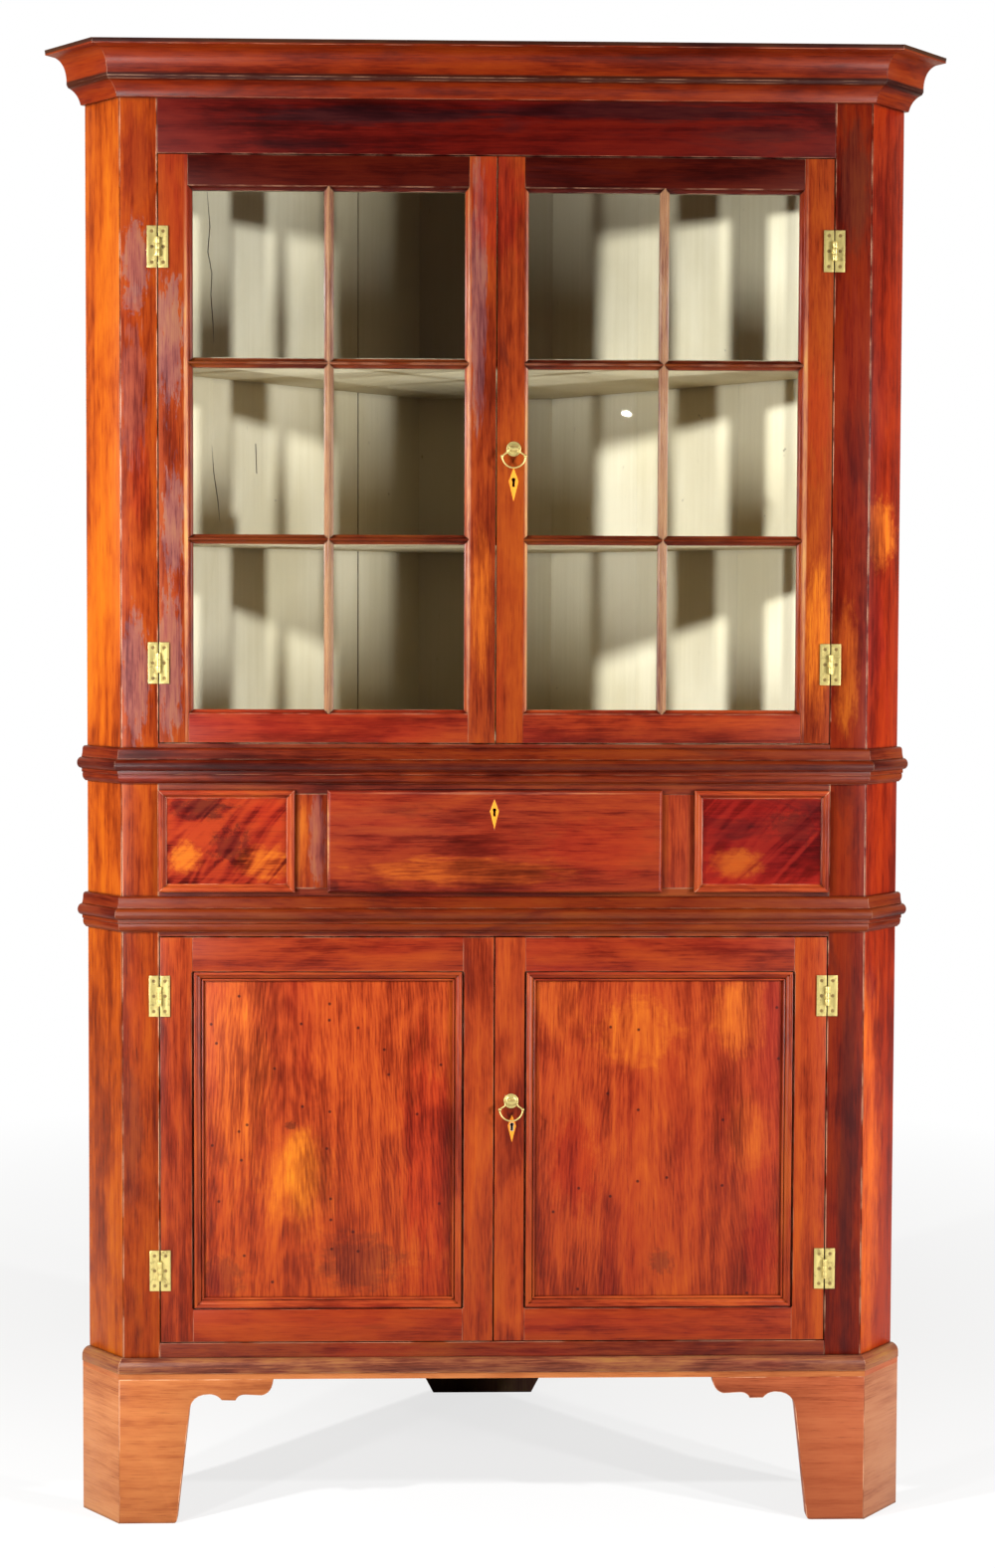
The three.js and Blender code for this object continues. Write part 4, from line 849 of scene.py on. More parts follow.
# %% The face frame
CANT = Vector((1, 1, 0))
CANT_LEFT = Vector((1, -1, 0))
FACE_BOARDS = [
    ("stile_left", "cherry_stile_left", Z, X, 0.0),
    ("stile_right", "cherry_stile_right", Z, X, 0.0),
    ("return_left", "cherry_return_left", Z, CANT_LEFT, 0.0),
    ("return_right", "cherry_return_right", Z, CANT, 0.0),
    ("top_rail", "cherry_top_rail", X, Z, 0.0),
    ("waist_rail", "cherry_red", X, Z, 0.0),
    ("mid_rail", "cherry_red", X, Z, 0.05),
    ("bottom_rail", "cherry_red", X, Z, 0.0),
    ("frieze_post_left", "post_left", Z, X, 0.0),
    ("frieze_post_right", "cherry", Z, X, -0.05),
]
for node, finish, along, across, tone in FACE_BOARDS:
    eased = "arris" if "stile" in node or "return" in node else "board"
    one_board("old_", node, "cherry_case", finish, along, across, eased=eased, tone=tone)
print("face frame:", len(FACE_BOARDS), "boards")

# %% [markdown]
# A moulding is planed in straight lengths. At each arris of the case two lengths meet in a mitre, and
# on an old piece that mitre shows as a fine line, with the grain turning the corner. So each moulding
# is cut in three at the upright planes that halve the corners, and each length gets its own grain. The
# bracket feet are mitred on the same planes. A cut leaves an open end, which is filled again at once.

# %% Cutting at the mitres
HALF_CANT = math.pi / 8


def kept_behind(bm, point, normal):
    """The part of a closed mesh behind a plane, closed again."""
    geometry = bm.verts[:] + bm.edges[:] + bm.faces[:]
    made = bmesh.ops.bisect_plane(bm, geom=geometry, dist=WELD, plane_co=point, plane_no=normal,
                                  clear_outer=True)
    rim = [item for item in made["geom_cut"] if isinstance(item, bmesh.types.BMEdge)]
    bmesh.ops.edgeloop_fill(bm, edges=rim)
    bmesh.ops.recalc_face_normals(bm, faces=bm.faces)
    return bm


def mitre_plane(side):
    """A point on the arris and the plane's normal, which points to the outside."""
    outside = Vector((side * math.cos(HALF_CANT), math.sin(HALF_CANT), 0))
    return Vector((side * CASE_HALF, FACE_Y, 0)), outside


def mitred_lengths(node, finish, eased, tone=0.0):
    """A moulding as its left, front and right lengths."""
    boards = []
    for side in (-1, 0, 1):
        bm = copy_of(node)
        for other in ((-1, 1) if side == 0 else (side,)):
            point, normal = mitre_plane(other)
            kept_behind(bm, point, normal if side == 0 else -normal)
        along = X if side == 0 else CANT if side > 0 else CANT_LEFT
        boards.append(Board(bm, finish, along, Z, eased=eased, tone=tone))
    return boards


# %% The mouldings
STRIP_TOP = 8.9 * MM

cornice = mitred_lengths("cornice", "cherry_cornice", "cornice")
assemble("cornice_lengths", cornice, "cornice")
for node, tone in (("waist_moulding", 0.0), ("mid_moulding", 0.05)):
    lengths = mitred_lengths(node, "cherry_moulding", "moulding", tone)
    assemble(node + "_lengths", lengths, node)

strip_level = Vector((0, 0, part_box("base_moulding")[0].z + STRIP_TOP))
base_boards = []
for keep, strip in ((-Z, False), (Z, True)):
    names = ("foot_left", "foot_left", "foot_right") if strip else ("cherry_base",) * 3
    for board, name in zip(mitred_lengths("base_moulding", "cherry_base", None), names):
        board.finish = name
        kept_behind(board.bm, strip_level, keep)
        ease(board.bm, "moulding")
        base_boards.append(board)
assemble("base_moulding_lengths", base_boards, "base_moulding")
print("mouldings: four, in", 3 * 4 + 3, "lengths")

# %% The feet
for side, node in ((-1, "foot_left"), (1, "foot_right")):
    point, normal = mitre_plane(side)
    bracket = Board(kept_behind(copy_of(node), point, normal), node, X, Z, eased="foot")
    cheek = Board(kept_behind(copy_of(node), point, -normal), node.replace("foot", "cheek"),
                  CANT if side > 0 else CANT_LEFT, Z, eased="foot")
    assemble("bracket_" + node, [bracket, cheek], node)
print("feet: a bracket and a cheek each")

# %% [markdown]
# A sash is two stiles, two rails and slender bars, and each was moulded on its edge before the frame
# was put together, so where two meet the mouldings are mitred. The frame part is one solid. Each member
# is cut out of it by a prism whose outline follows the shoulders and the little mitres. The same cutter
# gives the panelled doors their stiles and rails, and the four lengths of moulding round the panel.

# %% Cutting a member out of a door
OVOLO = 6 * MM
GLASS_LAP = 4.7 * MM
BAR_WIDTH = 13.8 * MM
BEYOND = 2 * MM
COLUMNS, ROWS = 2, 3


def welded(node):
    bm = bmesh.new()
    bm.from_mesh(frame["nodes"][node].data)
    bmesh.ops.remove_doubles(bm, verts=bm.verts, dist=WELD)
    return bm


def member(node, outline):
    low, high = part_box(node)
    return boolean(welded(node), prism(outline, low.y - BEYOND, high.y + BEYOND), "INTERSECT")


def panes_of(door):
    """The sight of each pane of a door as x0, x1, z0, z1, column by column from the bottom."""
    low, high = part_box(door + "_glass")
    x0, x1, z0, z1 = low.x + GLASS_LAP, high.x - GLASS_LAP, low.z + GLASS_LAP, high.z - GLASS_LAP
    width = (x1 - x0 - BAR_WIDTH * (COLUMNS - 1)) / COLUMNS
    height = (z1 - z0 - BAR_WIDTH * (ROWS - 1)) / ROWS
    columns = [(x0 + i * (width + BAR_WIDTH), x0 + i * (width + BAR_WIDTH) + width) for i in range(COLUMNS)]
    rows = [(z0 + i * (height + BAR_WIDTH), z0 + i * (height + BAR_WIDTH) + height) for i in range(ROWS)]
    return columns, rows


def notched(edge, rows, into):
    """The edge of an upright beside the panes, from the bottom up, with a mitred notch at each cross bar."""
    points = [(edge + into, rows[0][0] - OVOLO), (edge, rows[0][0])]
    for (_, top), (bottom, _) in zip(rows, rows[1:]):
        points += [(edge, top), (edge + into, top + OVOLO), (edge + into, bottom - OVOLO), (edge, bottom)]
    return points + [(edge, rows[-1][1]), (edge + into, rows[-1][1] + OVOLO)]


def sash_outlines(door):
    """The outline of each member of a sash and whether it is upright."""
    low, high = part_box(door + "_sash")
    columns, rows = panes_of(door)
    left, right = columns[0][0], columns[-1][1]
    bar_left, bar_right = columns[0][1], columns[1][0]
    outlines = []
    for edge, far, into in ((left, low.x, -OVOLO), (right, high.x, OVOLO)):
        outlines.append(("stile", [(far, low.z), (edge + into, low.z), *notched(edge, rows, into),
                                   (edge + into, high.z), (far, high.z)]))
    outlines.append(("bar", notched(bar_left, rows, OVOLO) + notched(bar_right, rows, -OVOLO)[::-1]))
    for kind, edge, out, far in (("top", rows[-1][1], OVOLO, high.z), ("bottom", rows[0][0], -OVOLO, low.z)):
        tips = [(left - OVOLO, edge + out), (left, edge),
                (bar_left, edge), (bar_left + OVOLO, edge + out),
                (bar_right - OVOLO, edge + out), (bar_right, edge),
                (right, edge), (right + OVOLO, edge + out)]
        outlines.append((kind, [(left - OVOLO, far), *tips, (right + OVOLO, far)]))
    for (_, top), (bottom, _) in zip(rows, rows[1:]):
        for x0, x1 in columns:
            outlines.append(("cross", [
                (x0, top), (x0 - OVOLO, top + OVOLO), (x0 - OVOLO, bottom - OVOLO), (x0, bottom),
                (x1, bottom), (x1 + OVOLO, bottom - OVOLO), (x1 + OVOLO, top + OVOLO), (x1, top)]))
    return outlines


# %% The sashes
SASH_WOODS = {"stile": ("cherry_sash", Z, X), "bar": ("cherry_bar", Z, X), "top": ("cherry_dark_rail", X, Z),
              "bottom": ("cherry_rail", X, Z), "cross": ("cherry_cross", X, Z)}
KEYED = {}
for door in ("door_upper_left", "door_upper_right"):
    boards = []
    for kind, outline in sash_outlines(door):
        finish, along, across = SASH_WOODS[kind]
        boards.append(Board(member(door + "_sash", outline), finish, along, across, eased="sash"))
    KEYED[door] = boards
print("sashes:", len(boards), "members each")

# %% The panelled doors
PANEL_LAP = 7.8 * MM
PANEL_MOULDING = 15.5 * MM
SHRINK = 1.4 * MM
SHRINK_DEPTH = 7 * MM
HEARTS = {"door_lower_left": (300, 1140), "door_lower_right": (655, 1190)}


def ring_outlines(x0, x1, z0, z1, width):
    """Four mitred lengths round a rectangle: outline, and whether the length is upright."""
    inner = (x0 + width, x1 - width, z0 + width, z1 - width)
    return [
        (True, [(x0, z0), (inner[0], inner[2]), (inner[0], inner[3]), (x0, z1)]),
        (True, [(x1, z1), (inner[1], inner[3]), (inner[1], inner[2]), (x1, z0)]),
        (False, [(x0, z1), (inner[0], inner[3]), (inner[1], inner[3]), (x1, z1)]),
        (False, [(x1, z0), (inner[1], inner[2]), (inner[0], inner[2]), (x0, z0)]),
    ]


def bead_lengths(node, x0, x1, z0, z1, width):
    """The four mitred lengths of moulding that run round a panel."""
    return [Board(member(node, outline), "cherry_bead", *((Z, X) if upright else (X, Z)), eased="bead")
            for upright, outline in ring_outlines(x0, x1, z0, z1, width)]


def rectangle(x0, x1, z0, z1):
    return [(x0, z0), (x1, z0), (x1, z1), (x0, z1)]


for door in ("door_lower_left", "door_lower_right"):
    node = door + "_frame"
    low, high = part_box(node)
    panel_low, panel_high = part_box(door + "_panel")
    x0, x1, z0, z1 = (panel_low.x - PANEL_LAP, panel_high.x + PANEL_LAP,
                      panel_low.z - PANEL_LAP, panel_high.z + PANEL_LAP)
    boards = []
    for start, end, edge in ((low.x, x0, x0), (x1, high.x, x1)):
        shrunk = box_mesh((edge - SHRINK, low.y - MM, z0 + SHRINK),
                          (edge + SHRINK, low.y + SHRINK_DEPTH, z1 - SHRINK))
        stile = boolean(member(node, rectangle(start, end, low.z, high.z)), shrunk, "DIFFERENCE")
        boards.append(Board(stile, "cherry_door", Z, X, eased="stile"))
    for outline in (rectangle(x0, x1, low.z, z0), rectangle(x0, x1, z1, high.z)):
        boards.append(Board(member(node, outline), "cherry_rail", X, Z, eased="rail"))
    boards += bead_lengths(node, x0, x1, z0, z1, PANEL_MOULDING)
    KEYED[door] = boards
    heart = on_face(HEARTS[door])
    panel = Board(copy_of(door + "_panel"), door.replace("door_lower", "panel"), Z, X, eased="panel",
                  heart=heart)
    assemble(door + "_field", [panel], door + "_panel")
print("panelled doors:", len(boards), "members each, and a panel")

# %% The frieze panels
BEAD_WIDTH = 12 * MM
for side in ("left", "right"):
    node = "frieze_panel_" + side
    low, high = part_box(node)
    inner = rectangle(low.x + BEAD_WIDTH, high.x - BEAD_WIDTH, low.z + BEAD_WIDTH, high.z - BEAD_WIDTH)
    boards = [Board(member(node, inner), "figured_" + side, X, Z, eased=None)]
    boards += bead_lengths(node, low.x, high.x, low.z, high.z, BEAD_WIDTH)
    assemble("figured_" + node, boards, node)
print("frieze panels: a figured field and four lengths of bead each")

# %% [markdown]
# Three locks show on the face as pale kites of boxwood, each let into the wood, with a keyhole cut
# through the middle. A keyhole is a real hole here: a round top and a leg below it. The kite lies in a
# shallow recess of its own shape and stands proud by less than a sheet of paper, as inlay does after
# the wood around it has shrunk.

# %% Kites and keyholes
KITE_HALF = 7.2 * MM
KITE_UP = 19.5 * MM
KITE_DOWN = 29.5 * MM
KITE_THICK = 1.2 * MM
KITE_PROUD = 0.08 * MM
KEY_RADIUS = 2.9 * MM
KEY_LEG_HALF = 1.9 * MM
KEY_LEG_DROP = 10.5 * MM
KEY_EYE_UP = 2 * MM
KEY_STEPS = 14
KEY_DEPTH = 16 * MM
LOCKS = {
    "door_upper_right": ((516.2, 483.6), 1.0, 0.0),
    "door_lower_right": ((514.4, 1131.3), 0.84, 0.0),
    "drawer": ((496.9, 815.4), 0.9, 7 * MM),
}


def kite_outline(centre, share):
    points = [(0, -KITE_DOWN), (KITE_HALF, 0), (0, KITE_UP), (-KITE_HALF, 0)]
    return [(centre.x + x * share, centre.z + z * share) for x, z in points]


def key_outline(centre, share, rim=0.0):
    """A round eye with a leg under it, as one outline."""
    radius, leg = KEY_RADIUS + rim, KEY_LEG_HALF + rim
    start = math.asin(leg / radius)
    points = [(-leg, -KEY_LEG_DROP - rim), (leg, -KEY_LEG_DROP - rim)]
    for step in range(KEY_STEPS + 1):
        angle = -math.pi / 2 + start + (2 * math.pi - 2 * start) * step / KEY_STEPS
        points.append((radius * math.cos(angle), radius * math.sin(angle)))
    return [(centre.x + x * share, centre.z + (z + KEY_EYE_UP) * share) for x, z in points]


def lock_place(name):
    pixel, share, proud = LOCKS[name]
    return on_face(pixel, proud), share


def let_in(bm, name):
    """The recess of a kite and its keyhole, cut into a board."""
    centre, share = lock_place(name)
    front = centre.y - BEYOND
    recess = prism(kite_outline(centre, share), front, centre.y + KITE_THICK - KITE_PROUD)
    keyhole = prism(key_outline(centre, share), front, centre.y + KEY_DEPTH)
    return boolean(boolean(bm, recess, "DIFFERENCE"), keyhole, "DIFFERENCE")


def kite(name, node):
    centre, share = lock_place(name)
    blank = prism(kite_outline(centre, share), centre.y - KITE_PROUD, centre.y + KITE_THICK - KITE_PROUD)
    keyhole = prism(key_outline(centre, share), centre.y - BEYOND, centre.y + BEYOND)
    board = Board(boolean(blank, keyhole, "DIFFERENCE"), "boxwood", Z, X, eased=None)
    return assemble(name + "_kite", [board], node, stands_for=False)


# %% The doors go together
MEETING_STILE = 0
for door, boards in KEYED.items():
    if door in LOCKS:
        stile = boards[MEETING_STILE]
        old = {"finish": stile.finish, "along": Z, "across": X, "tone": stile.tone}
        cut = let_in(stile.bm, door)
        for layer in list(cut.faces.layers.float.values()):
            cut.faces.layers.float.remove(layer)
        boards[MEETING_STILE] = Board(cut, eased=None, **old)
    node = door + ("_sash" if "upper" in door else "_frame")
    assemble(door + "_members", boards, node)
    if door in LOCKS:
        kite(door, node)
print("doors:", ", ".join(KEYED))

# %% The drawer
drawer_front = Board(let_in(copy_of("drawer_front"), "drawer"), "cherry_drawer", X, Z, eased="front")
assemble("lipped_drawer_front", [drawer_front], "drawer_front")
kite("drawer", "drawer_front")
for node, along, across in (("drawer_side_left", Y, Z), ("drawer_side_right", Y, Z), ("drawer_back", X, Z),
                            ("drawer_bottom", X, Y)):
    one_board("plain_", node, "plain_board", "plain_board", along, across, eased="plain")
print("drawer: front, two sides, back and bottom")

# %% [markdown]
# Inside, the case was painted cream and has yellowed. The back is made of upright planks that have
# shrunk, so a dark crack shows where two meet, and outside, where nobody looks, they are bare. Each
# back is cut into planks at the cracks that the picture shows, and painted on its inner side only.
# Inside a white box light goes round and round, and softens every shadow. The shadows in the picture
# are darker than that, so the paint gives back less of the light that another surface has sent to it.

# %% Paint
PAINT = colour(246, 239, 212)
PAINT_SHADE = colour(230, 221, 188)
# The tint of the painted shade over the corner board and under the top.
PAINTED_SHADE_TINT = colour(112, 102, 76)
# Dirt for the chips, and the tint of the painted shade where two surfaces meet.
PAINT_DIRT_AND_SHADE = colour(104, 90, 62)
BOUNCE_LOSS = 0.9
PAINT_BOUNCE = colour(184, 164, 120)
PAINT_WAVES = {"brush": (160, 160, 3.0), "cloud": (4.5, 4.5, 2.2), "chip": (70, 70, 42)}
BRUSH_SHARE, CLOUD_SHARE = 0.2, 0.8
PAINT_BAND = (0.38, 0.64)
# Painted shade: a darker tint over the corner board and under the top, which lie in shadow.
SHADED = [((-0.06, 0.29, 1.6), (0.17, 0.4, 2.4), 0.6), ((0, 0.29, 2.02), (0.5, 0.5, 0.34), 0.5)]
SHADED_RAGGED, SHADED_SOFT = 0.06, 0.8
CHIP_BAND, CHIP_SHARE = (0.7, 0.76), 0.5
CORNER_REACH = 18 * MM
CORNER_BAND, CORNER_SHARE = (0.2, 0.75), 0.55
BRUSH_BUMP, BRUSH_DEPTH = 0.2, 0.5 * MM
PAINT_ROUGH, PAINT_SPECULAR = 0.5, 0.2


def old_paint():
    """Brushed cream paint, chipped with dirt, with painted shade over the corner board and under the top, and
    dirt with painted shade where two surfaces meet.
    """
    material, tree = new_material("old_cream_paint")
    position = add(tree, "TexCoord").outputs["Object"]
    brush = noise(tree, position, PAINT_WAVES["brush"], detail=3.0)
    cloud = noise(tree, position, PAINT_WAVES["cloud"], detail=4.0)
    chip = noise(tree, position, PAINT_WAVES["chip"], detail=3.0, roughness=0.7)
    shade = plus(tree, times(tree, brush, BRUSH_SHARE), times(tree, cloud, CLOUD_SHARE))
    surface = blended(tree, band(tree, shade, *PAINT_BAND), PAINT_SHADE, PAINT)
    for centre, reach, strength in SHADED:
        patch = add(tree, "Group", {"Position": position, "Centre": centre, "Reach": reach,
                                    "Ragged": SHADED_RAGGED, "Soft": SHADED_SOFT}, node_tree=patch_group)
        surface = blended(tree, times(tree, patch.outputs[0], strength), surface, PAINTED_SHADE_TINT)
    chipped = times(tree, band(tree, chip, *CHIP_BAND), CHIP_SHARE)
    surface = blended(tree, chipped, surface, PAINT_DIRT_AND_SHADE)
    # Painted shade: ambient occlusion darkens the paint where two surfaces meet, as dirt and as the shade
    # there.
    corner = add(tree, "AmbientOcclusion", {"Distance": CORNER_REACH}, samples=6).outputs["AO"]
    dirt_and_shade = times(tree, band(tree, corner, *CORNER_BAND, 1, 0), CORNER_SHARE)
    surface = blended(tree, dirt_and_shade, surface, PAINT_DIRT_AND_SHADE)
    depth = add(tree, "LightPath").outputs["Diffuse Depth"]
    bounced = times(tree, calculate(tree, "GREATER_THAN", depth, ONE_TURN), BOUNCE_LOSS)
    surface = blended(tree, bounced, surface, PAINT_BOUNCE)
    bump = add(tree, "Bump", {"Height": brush, "Strength": BRUSH_BUMP, "Distance": BRUSH_DEPTH})
    shader = add(tree, "BsdfPrincipled", {"Base Color": surface, "Normal": bump.outputs[0],
                                          "Roughness": PAINT_ROUGH, "Specular IOR Level": PAINT_SPECULAR})
    show(tree, shader)
    return material


FINISHES["paint"] = old_paint()
JOINTS = {"back_left": [(360, 420)], "back_right": [(640, 420), (742, 420)]}
CRACKS = {
    "back_left": [
        [(360, 100), (360, 1400)],
        [(208, 190), (211, 227), (209, 253), (213, 275), (212, 297), (214, 323), (215, 345)],
        [(213, 448), (215, 476), (219, 503), (221, 524)],
        [(257, 446), (258, 476)],
    ],
    "back_right": [],
}
CRACK_WIDTH = 1.7 * MM
CRACK_TIP = CRACK_WIDTH / 4
CRACK_DEPTH = 7 * MM
INWARD = {"back_left": Vector((1, -1, 0)).normalized(), "back_right": Vector((-1, -1, 0)).normalized()}


def inner_corner(node, inward):
    """The corner of a back that lies furthest inward, as a point of its inner side."""
    places = [vert.co for vert in frame["nodes"][node].data.vertices]
    return max(places, key=lambda place: place.dot(inward)).copy()


def crack_cutter(pixels, point, inward, run):
    """A thin blade that follows a crack of the picture down a back and reaches into the wood."""
    places = [ray_hit(pixel, point, inward) for pixel in pixels]
    bm = bmesh.new()
    rows = []
    for i, place in enumerate(places):
        tip = len(places) > 2 and i in (0, len(places) - 1)
        half = run * ((CRACK_TIP if tip else CRACK_WIDTH) / 2)
        rows.append([bm.verts.new(place + side * half + inward * depth)
                     for side, depth in ((-1, MM), (1, MM), (1, -CRACK_DEPTH), (-1, -CRACK_DEPTH))])
    bm.faces.new(rows[0])
    bm.faces.new(rows[-1][::-1])
    for upper, lower in zip(rows, rows[1:]):
        for i in range(4):
            bm.faces.new((upper[i], lower[i], lower[i - 3], upper[i - 3]))
    bmesh.ops.recalc_face_normals(bm, faces=bm.faces)
    return bm


def backs():
    for node, inward in INWARD.items():
        run = Vector((inward.y, -inward.x, 0))
        point = inner_corner(node, inward)
        cuts = sorted(ray_hit(pixel, point, inward).dot(run) for pixel in JOINTS[node])
        edges = [None, *cuts, None]
        boards = []
        for start, end in zip(edges, edges[1:]):
            bm = copy_of(node)
            if start is not None:
                kept_behind(bm, run * start, -run)
            if end is not None:
                kept_behind(bm, run * end, run)
            for pixels in CRACKS[node]:
                bm = boolean(bm, crack_cutter(pixels, point, inward, run), "DIFFERENCE")
            boards.append(Board(bm, "plain_board", Z, run, eased="plank", inward=inward))
        assemble(node + "_planks", boards, node)


backs()
floor_level = Vector((0, 0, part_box("floor_board")[0].z))
corner = Board(kept_behind(copy_of("corner_board"), floor_level, -Z), "plain_board", Z, X, inward=-Y)
back_foot = Board(kept_behind(copy_of("corner_board"), floor_level, Z), "dark_foot", Z, X)
assemble("corner_plank", [corner, back_foot], "corner_board")
for node in ("shelf_lower", "shelf_upper"):
    one_board("painted_", node, "inside_paint", "paint", X, Y, eased="shelf")
one_board("painted_", "waist_board", "inside_paint", "plain_board", X, Y, eased="plain", inward=Z)
for node in ("floor_board", "dust_board", "top_board"):
    one_board("plain_", node, "plain_board", "plain_board", X, Y, eased="plain")
print("inside: backs, corner, shelves and boards")

# %% [markdown]
# The glass was cut in small panes because large ones were dear. Each pane sits in its rebate behind
# the bars, held by a bevel of putty. Old glass is never flat, so a slow wave in its surface bends what
# is seen through it a little. Light has to pass the panes to reach the shelves, and a shader for clear
# glass keeps lamps out. So a shadow ray sees the pane as see-through, and so does a ray that a dull
# surface inside has sent on, because light leaves the cupboard through the panes too.

# %% Glass and putty
GLASS_GAP = 1.0 * MM
PUTTY_WIDTH = 5 * MM
PUTTY_DEPTH = 5 * MM
PUTTY_LIP = 0.2 * MM
GLASS = {"Base Color": (1, 1, 1, 1), "Roughness": 0.02, "IOR": 1.45, "Transmission Weight": 1.0}
GLASS_CLEAR = (0.99, 1, 0.99, 1)
GLASS_WAVES = (5, 5, 9)
GLASS_BUMP, GLASS_DEPTH = 0.25, 2 * MM
CLOUD_BAND = (0.42, 0.68)
CLOUD_ROUGH = 0.2


def old_glass():
    material, tree = new_material("old_window_glass")
    position = add(tree, "TexCoord").outputs["Object"]
    wave = noise(tree, position, GLASS_WAVES, detail=1.0)
    bump = add(tree, "Bump", {"Height": wave, "Strength": GLASS_BUMP, "Distance": GLASS_DEPTH})
    pane = add(tree, "BsdfPrincipled", {"Normal": bump.outputs[0], **GLASS})
    clear = add(tree, "BsdfTransparent", {"Color": GLASS_CLEAR})
    path = add(tree, "LightPath").outputs
    bounced = calculate(tree, "GREATER_THAN", path["Diffuse Depth"], ONE_TURN)
    passed = calculate(tree, "MAXIMUM", path["Is Shadow Ray"], bounced)
    both = add(tree, "MixShader", {0: passed, 1: pane.outputs[0], 2: clear.outputs[0]})
    show(tree, both)
    return material


def plain_material(name, shade, roughness, metal=0.0, grain=(40, 40, 40), spread=0.25, dark=(40, 30, 20)):
    """A plain finish with a cloud of a darker tone in it."""
    material, tree = new_material(name)
    position = add(tree, "TexCoord").outputs["Object"]
    cloud = noise(tree, position, grain, detail=5.0, roughness=0.65)
    share = times(tree, band(tree, cloud, *CLOUD_BAND), spread)
    surface = blended(tree, share, colour(*shade), colour(*dark))
    rough = plus(tree, times(tree, cloud, CLOUD_ROUGH), roughness)
    shader = add(tree, "BsdfPrincipled", {"Base Color": surface, "Roughness": rough, "Metallic": metal})
    show(tree, shader)
    return material


FINISHES["glass"] = old_glass()
FINISHES["putty"] = plain_material("old_putty", (150, 134, 100), 0.7)
PANE_LAP = OVOLO - GLASS_GAP


def putty_beads(x0, x1, z0, z1, back):
    """Four lengths of putty behind a pane, sloped from the wood down to the glass."""
    beads = []
    outer = (x0 - PANE_LAP, x1 + PANE_LAP, z0 - PANE_LAP, z1 + PANE_LAP)
    middle = Vector(((x0 + x1) / 2, 0, (z0 + z1) / 2))
    for _, outline in ring_outlines(*outer, PUTTY_WIDTH):
        bead = prism(outline, back, back + PUTTY_DEPTH)
        for vert in bead.verts:
            reach = max(abs(vert.co.x - middle.x) - (x1 - x0) / 2, abs(vert.co.z - middle.z) - (z1 - z0) / 2)
            if reach < PANE_LAP - WELD and vert.co.y > back + WELD:
                vert.co.y = back + PUTTY_LIP
        beads.append(Board(bead, "putty", Z, X, eased=None))
    return beads


for door in ("door_upper_left", "door_upper_right"):
    columns, rows = panes_of(door)
    low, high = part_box(door + "_glass")
    panes, putty = [], []
    for x0, x1 in columns:
        for z0, z1 in rows:
            blank = box_mesh((x0 - PANE_LAP, low.y, z0 - PANE_LAP), (x1 + PANE_LAP, high.y, z1 + PANE_LAP))
            panes.append(Board(blank, "glass", Z, X, eased=None))
            putty += putty_beads(x0, x1, z0, z1, high.y)
    assemble(door + "_panes", panes, door + "_glass")
    assemble(door + "_putty", putty, door + "_glass", stands_for=False)
print("panes:", len(panes), "in each sash")

# %% [markdown]
# The brass is old and was polished by hand, so it is bright on the raised parts and brown in the
# hollows and round the screws. Each hinge leaf is a copy of its frame part with the corners eased and
# three small countersinks, one for each of its screws.

# %% Brass
SCREW_RADIUS = 2.5 * MM
SINK_RADIUS = 2.9 * MM
SINK_DEPTH = 1.0 * MM
SINK_TAPER = 0.7
SCREW_LEVELS = (-0.37, 0.0, 0.37)
SCREW_SUNK = 0.25 * MM
METAL = 0.62
BRASS_WAVES = (90, 90, 90)
SCRATCH_WAVES = (1400, 1400, 160)
STAIN_BAND = (0.5, 0.72)
HOLLOW_REACH, HOLLOW_BAND = 3 * MM, (0.3, 0.8)
STAIN_ROUGH, SCRATCH_ROUGH = 0.25, 0.12
SCRATCH_BUMP, SCRATCH_DEPTH = 0.1, 0.1 * MM


def old_brass(name, shade, dark, roughness, rub=0.6):
    material, tree = new_material(name)
    position = add(tree, "TexCoord").outputs["Object"]
    cloud = noise(tree, position, BRASS_WAVES, detail=5.0, roughness=0.7)
    scratch = noise(tree, position, SCRATCH_WAVES, detail=2.0)
    hollow = add(tree, "AmbientOcclusion", {"Distance": HOLLOW_REACH}, samples=6).outputs["AO"]
    stain = calculate(tree, "MAXIMUM", band(tree, cloud, *STAIN_BAND), band(tree, hollow, *HOLLOW_BAND, 1, 0))
    surface = blended(tree, times(tree, stain, rub), colour(*shade), colour(*dark))
    rough = plus(tree, times(tree, stain, STAIN_ROUGH), times(tree, scratch, SCRATCH_ROUGH))
    bump = add(tree, "Bump", {"Height": scratch, "Strength": SCRATCH_BUMP, "Distance": SCRATCH_DEPTH})
    shader = add(tree, "BsdfPrincipled", {
        "Base Color": surface, "Roughness": plus(tree, rough, roughness), "Normal": bump.outputs[0],
        "Metallic": METAL})
    show(tree, shader)
    return material


FINISHES["brass"] = old_brass("old_brass", (204, 186, 116), (104, 80, 40), 0.34, rub=0.7)
FINISHES["screw"] = old_brass("old_screw", (150, 124, 74), (52, 38, 24), 0.35, rub=0.9)
FINISHES["silver"] = old_brass("silvery_lining", (214, 208, 196), (120, 110, 96), 0.18)

# %% Hinge leaves
HINGES = [f"hinge_{level}_{side}_{end}" for level in ("upper", "lower") for side in ("left", "right")
          for end in ("top", "bottom")]


def leaf_screws(node):
    """The places of a leaf's three screws: a column beside the knuckle, on the leaf's front."""
    low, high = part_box(node)
    plate = [vert.co for vert in frame["nodes"][node].data.vertices if vert.co.z > high.z - WELD]
    x0, x1 = min(place.x for place in plate), max(place.x for place in plate)
    front = min(place.y for place in plate)
    middle = (low.z + high.z) / 2
    return [Vector(((x0 + x1) / 2, front, middle + level * (high.z - low.z))) for level in SCREW_LEVELS]


